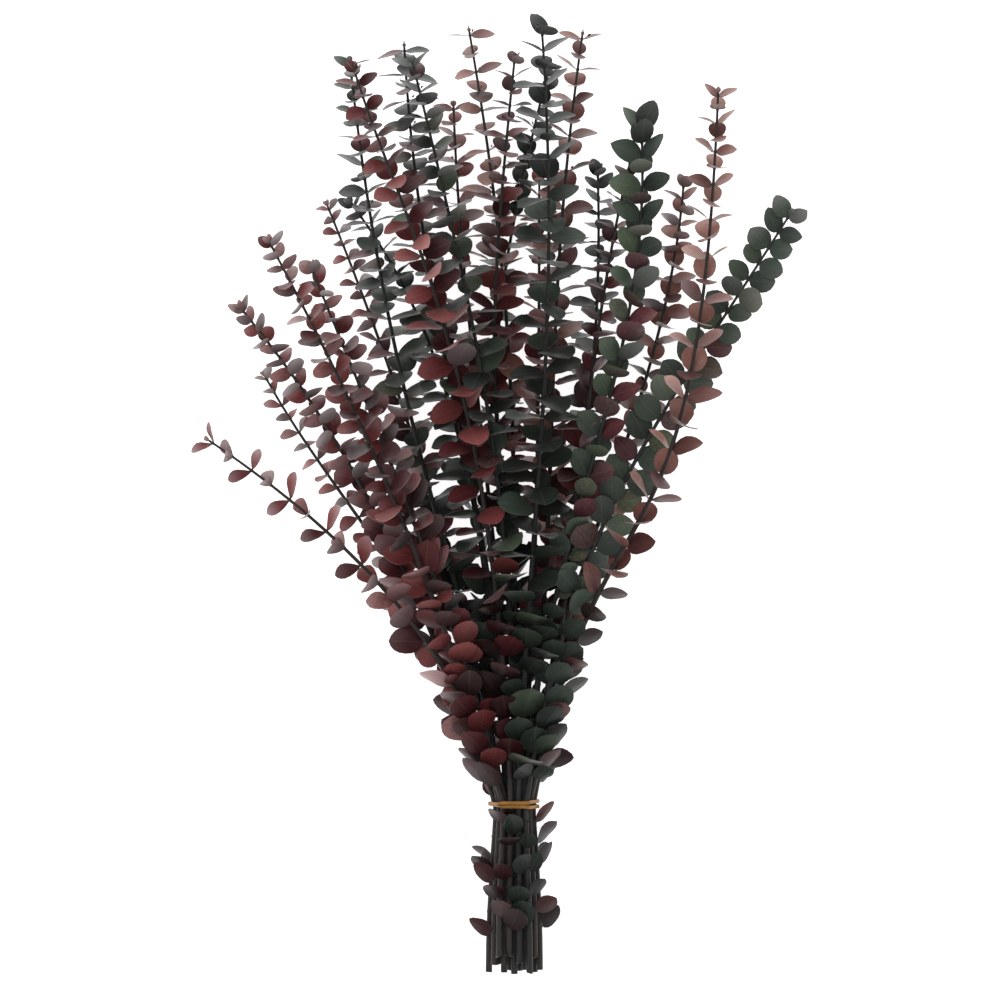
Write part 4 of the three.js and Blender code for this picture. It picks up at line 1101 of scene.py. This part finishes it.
def skeleton(name, stem, axis, grown, bark_tone):
    """What the tree builds on: the stem's axis as a line of points, and a loose point for each leaf."""
    mesh = bpy.data.meshes.new(name)
    places = [point for point, _ in axis] + [leaf["start"] for leaf in grown]
    mesh.from_pydata([times(place, MM) for place in places],
                     [(i, i + 1) for i in range(len(axis) - 1)], [])
    count = len(axis)
    no_leaf = [0.0] * len(grown)
    marks = {
        "is_leaf": ("BOOLEAN", [False] * count, [True] * len(grown)),
        "thick": ("FLOAT", [radius * MM for _, radius in axis], no_leaf),
        "cut": ("FLOAT", [0.0] * (count - 1) + [1.0], no_leaf),
        "tint": ("FLOAT", [bark_tone] * count, [tone_of(stem, leaf) for leaf in grown]),
        "level": ("FLOAT", [1.0] * count, [level_and_painted_shade_of(leaf) for leaf in grown]),
        "bloom": ("FLOAT", [0.0] * count, [bloom_and_glare_of(stem, leaf) for leaf in grown]),
        "shape": ("INT", [0] * count, [shape_of(stem, leaf) for leaf in grown]),
        "size": ("FLOAT_VECTOR", [0.0] * 3 * count, [v for leaf in grown for v in size_of(leaf)]),
        "turned": ("QUATERNION", [1.0, 0.0, 0.0, 0.0] * count,
                   [v for leaf in grown for v in turned_to(leaf["points"], leaf["flat"])]),
    }
    for title, (kind, on_axis, on_leaves) in marks.items():
        values = "vector" if kind == "FLOAT_VECTOR" else "value"
        mesh.attributes.new(title, kind, "POINT").data.foreach_set(values, on_axis + on_leaves)
    return mesh


def leafy_stem(stem_index, line, leaves, tree, shapes, materials):
    """One grown piece: a stem with its leaves and buds."""
    stem = STEMS[stem_index]
    node = f"leafy_stem_{stem_index + 1:02d}"
    name = f"eucalyptus_stem_{stem_index + 1:02d}"
    draw = random.Random(SHAPE_SEED * 100 + stem_index)
    pairs = pairs_of(stem, line)
    grown = leaves + young_leaves(stem, line) + side_buds(stem, pairs, draw)
    bark_tone = draw.uniform(*BARK_TONES) + (0 if stem["dye"] == "green" else BARK_DYED)
    piece = in_scene(name, skeleton(name, stem, stem_axis(line, pairs), grown, bark_tone))
    nodes = piece.modifiers.new("leafy_stem", "NODES")
    nodes.node_group = tree
    given = {"Leaf shapes": shapes, "Stem sides": STEM_SIDES, "Leaf size": 1.0,
             "Leaf material": materials[stem["dye"]], "Bark material": materials["bark"]}
    for item in tree.interface.items_tree:
        if item.name in given:
            nodes[item.identifier] = given[item.name]
    made_plain(piece)
    for mark in TREE_MARKS:
        if mark in piece.data.attributes:
            piece.data.attributes.remove(piece.data.attributes[mark])
    settle(piece.data)
    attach(piece, "root")
    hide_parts(node)


def settle(mesh):
    """The cut slants a little, and what touches the table is pressed flat on it, inside the frame's box."""
    cut = mesh.attributes["cut"].data
    for vertex in mesh.vertices:
        x, y, z = vertex.co
        if cut[vertex.index].value > 0.5:
            y += CUT_SLANT * CUT_TURN * MM * math.sin(x / (CUT_TURN * MM))
        vertex.co = [clamped(value, low, high)
                     for value, low, high in zip((x, y, z), CAD_LOW, CAD_HIGH)]


def rubber_band(material):
    """A closed strip of rubber with rounded edges, wound twice and crossing over itself once."""
    wide = BAND_WIDE / 2 - BAND_CORNER
    thick = BAND_THICK / 2 - BAND_CORNER
    section = []
    for across_band, out, start in ((1, 1, 0), (-1, 1, 90), (-1, -1, 180), (1, -1, 270)):
        for turn in (0, 30, 60, 90):
            angle = math.radians(start + turn)
            section.append((across_band * wide + BAND_CORNER * math.cos(angle),
                            out * thick + BAND_CORNER * math.sin(angle)))
    vertices = []
    for step in range(FINE_BAND_STEPS):
        point, outward = band_point(4 * math.pi * step / FINE_BAND_STEPS, BAND_SNUG)
        for beside, out in section:
            x, y, z = along(point, outward, out)
            vertices.append(times((x, y + beside, z), MM))
    rings = [(step, (step + 1) % FINE_BAND_STEPS) for step in range(FINE_BAND_STEPS)]
    mesh = bpy.data.meshes.new("rubber_band")
    mesh.from_pydata(vertices, [], between_rings(rings, len(section)))
    finished_shape(mesh)
    mesh.materials.append(material)
    piece = in_scene("rubber_band_wound", mesh)
    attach(piece, "root")
    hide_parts("rubber_band")


# The studio: a white table lit from within, soft light from above, and a camera straight overhead
TABLE_SIZE = 8000
TABLE_DROP = 0.1         # the table lies a hair lower than the bunch
TABLE_GRAIN = 4          # millimetres from one cloud in the acrylic to the next
TABLE_GLOW = 0.95
ROOM_GLOW = 0.62
VIEW_MIDDLE = (-5.4, 5.4)
VIEW_FIELD = 669         # what the picture's side covers at mid height
MID_HEIGHT = 60
CAMERA_HEIGHT = 3000
SENSOR = 36


def light_table():
    """Opal acrylic, lit evenly from behind, so that nothing on it throws more than a faint shade."""
    material, tree = new_material("opal_acrylic_lit_from_behind")
    place = add(tree, "ShaderNodeTexCoord").outputs["Object"]
    clouds = add(tree, "ShaderNodeTexNoise", {"Vector": place, "Scale": 1 / (TABLE_GRAIN * MM),
                                              "Detail": 3.0})
    colour = add(tree, "ShaderNodeValToRGB", {"Fac": clouds.outputs["Fac"]},
                 stops=[(0.3, "#f4f4f4"), (0.7, "#f7f7f7")]).outputs["Color"]
    shader = add(tree, "ShaderNodeBsdfPrincipled", {
        "Base Color": colour, "Roughness": 0.9, "Emission Color": colour, "Emission Strength": TABLE_GLOW})
    add(tree, "ShaderNodeOutputMaterial", {"Surface": shader.outputs["BSDF"]})
    mesh = bpy.data.meshes.new("table")
    half = TABLE_SIZE / 2 * MM
    corners = [(-half, -half), (half, -half), (half, half), (-half, half)]
    mesh.from_pydata([(x, y, -TABLE_DROP * MM) for x, y in corners], [], [(0, 1, 2, 3)])
    mesh.materials.append(material)
    table = in_scene("table", mesh)


def soft_box(name, place, side, power):
    """A square soft light that looks at the bunch."""
    light = bpy.data.lights.new(name, "AREA")
    light.shape = "SQUARE"
    light.size = side * MM
    light.energy = power
    box = in_scene(name, light)
    box.location = Vector(place) * MM
    box.rotation_mode = "QUATERNION"
    box.rotation_quaternion = (-box.location).to_track_quat("-Z", "Y")


def white_room():
    """Even light from all round."""
    world = bpy.data.worlds.new("white_room")
    world.use_nodes = True
    world.node_tree.nodes.clear()
    sky = add(world.node_tree, "ShaderNodeBackground", {"Color": linear("#ffffff"), "Strength": ROOM_GLOW})
    add(world.node_tree, "ShaderNodeOutputWorld", {"Surface": sky.outputs["Background"]})
    bpy.context.scene.world = world


def overhead_camera():
    camera = bpy.data.cameras.new("camera")
    camera.sensor_width = SENSOR
    camera.lens = SENSOR * (CAMERA_HEIGHT - MID_HEIGHT) / VIEW_FIELD
    stand = in_scene("camera", camera)
    stand.location = Vector((*VIEW_MIDDLE, CAMERA_HEIGHT)) * MM
    bpy.context.scene.camera = stand


def studio():
    light_table()
    soft_box("top_light", place=(-900, 1100, 2400), side=1600, power=14)
    white_room()
    overhead_camera()
    bpy.context.scene.view_settings.view_transform = "Standard"


def bunch():
    lines = [Route(axis_points(stem)) for stem in STEMS]
    leaves = planned_leaves(lines)
    materials = {dye: preserved_leaf(dye) for dye in DYES}
    materials["bark"] = eucalyptus_bark()
    tree = leafy_stem_tree()
    shapes = leaf_collection()
    for stem_index, line in enumerate(lines):
        own = [leaf for leaf in leaves if leaf["stem"] == stem_index]
        leafy_stem(stem_index, line, own, tree, shapes, materials)
    rubber_band(natural_rubber())
    for shape in list(shapes.objects):
        bpy.data.objects.remove(shape)
    bpy.data.collections.remove(shapes)


bunch()
studio()
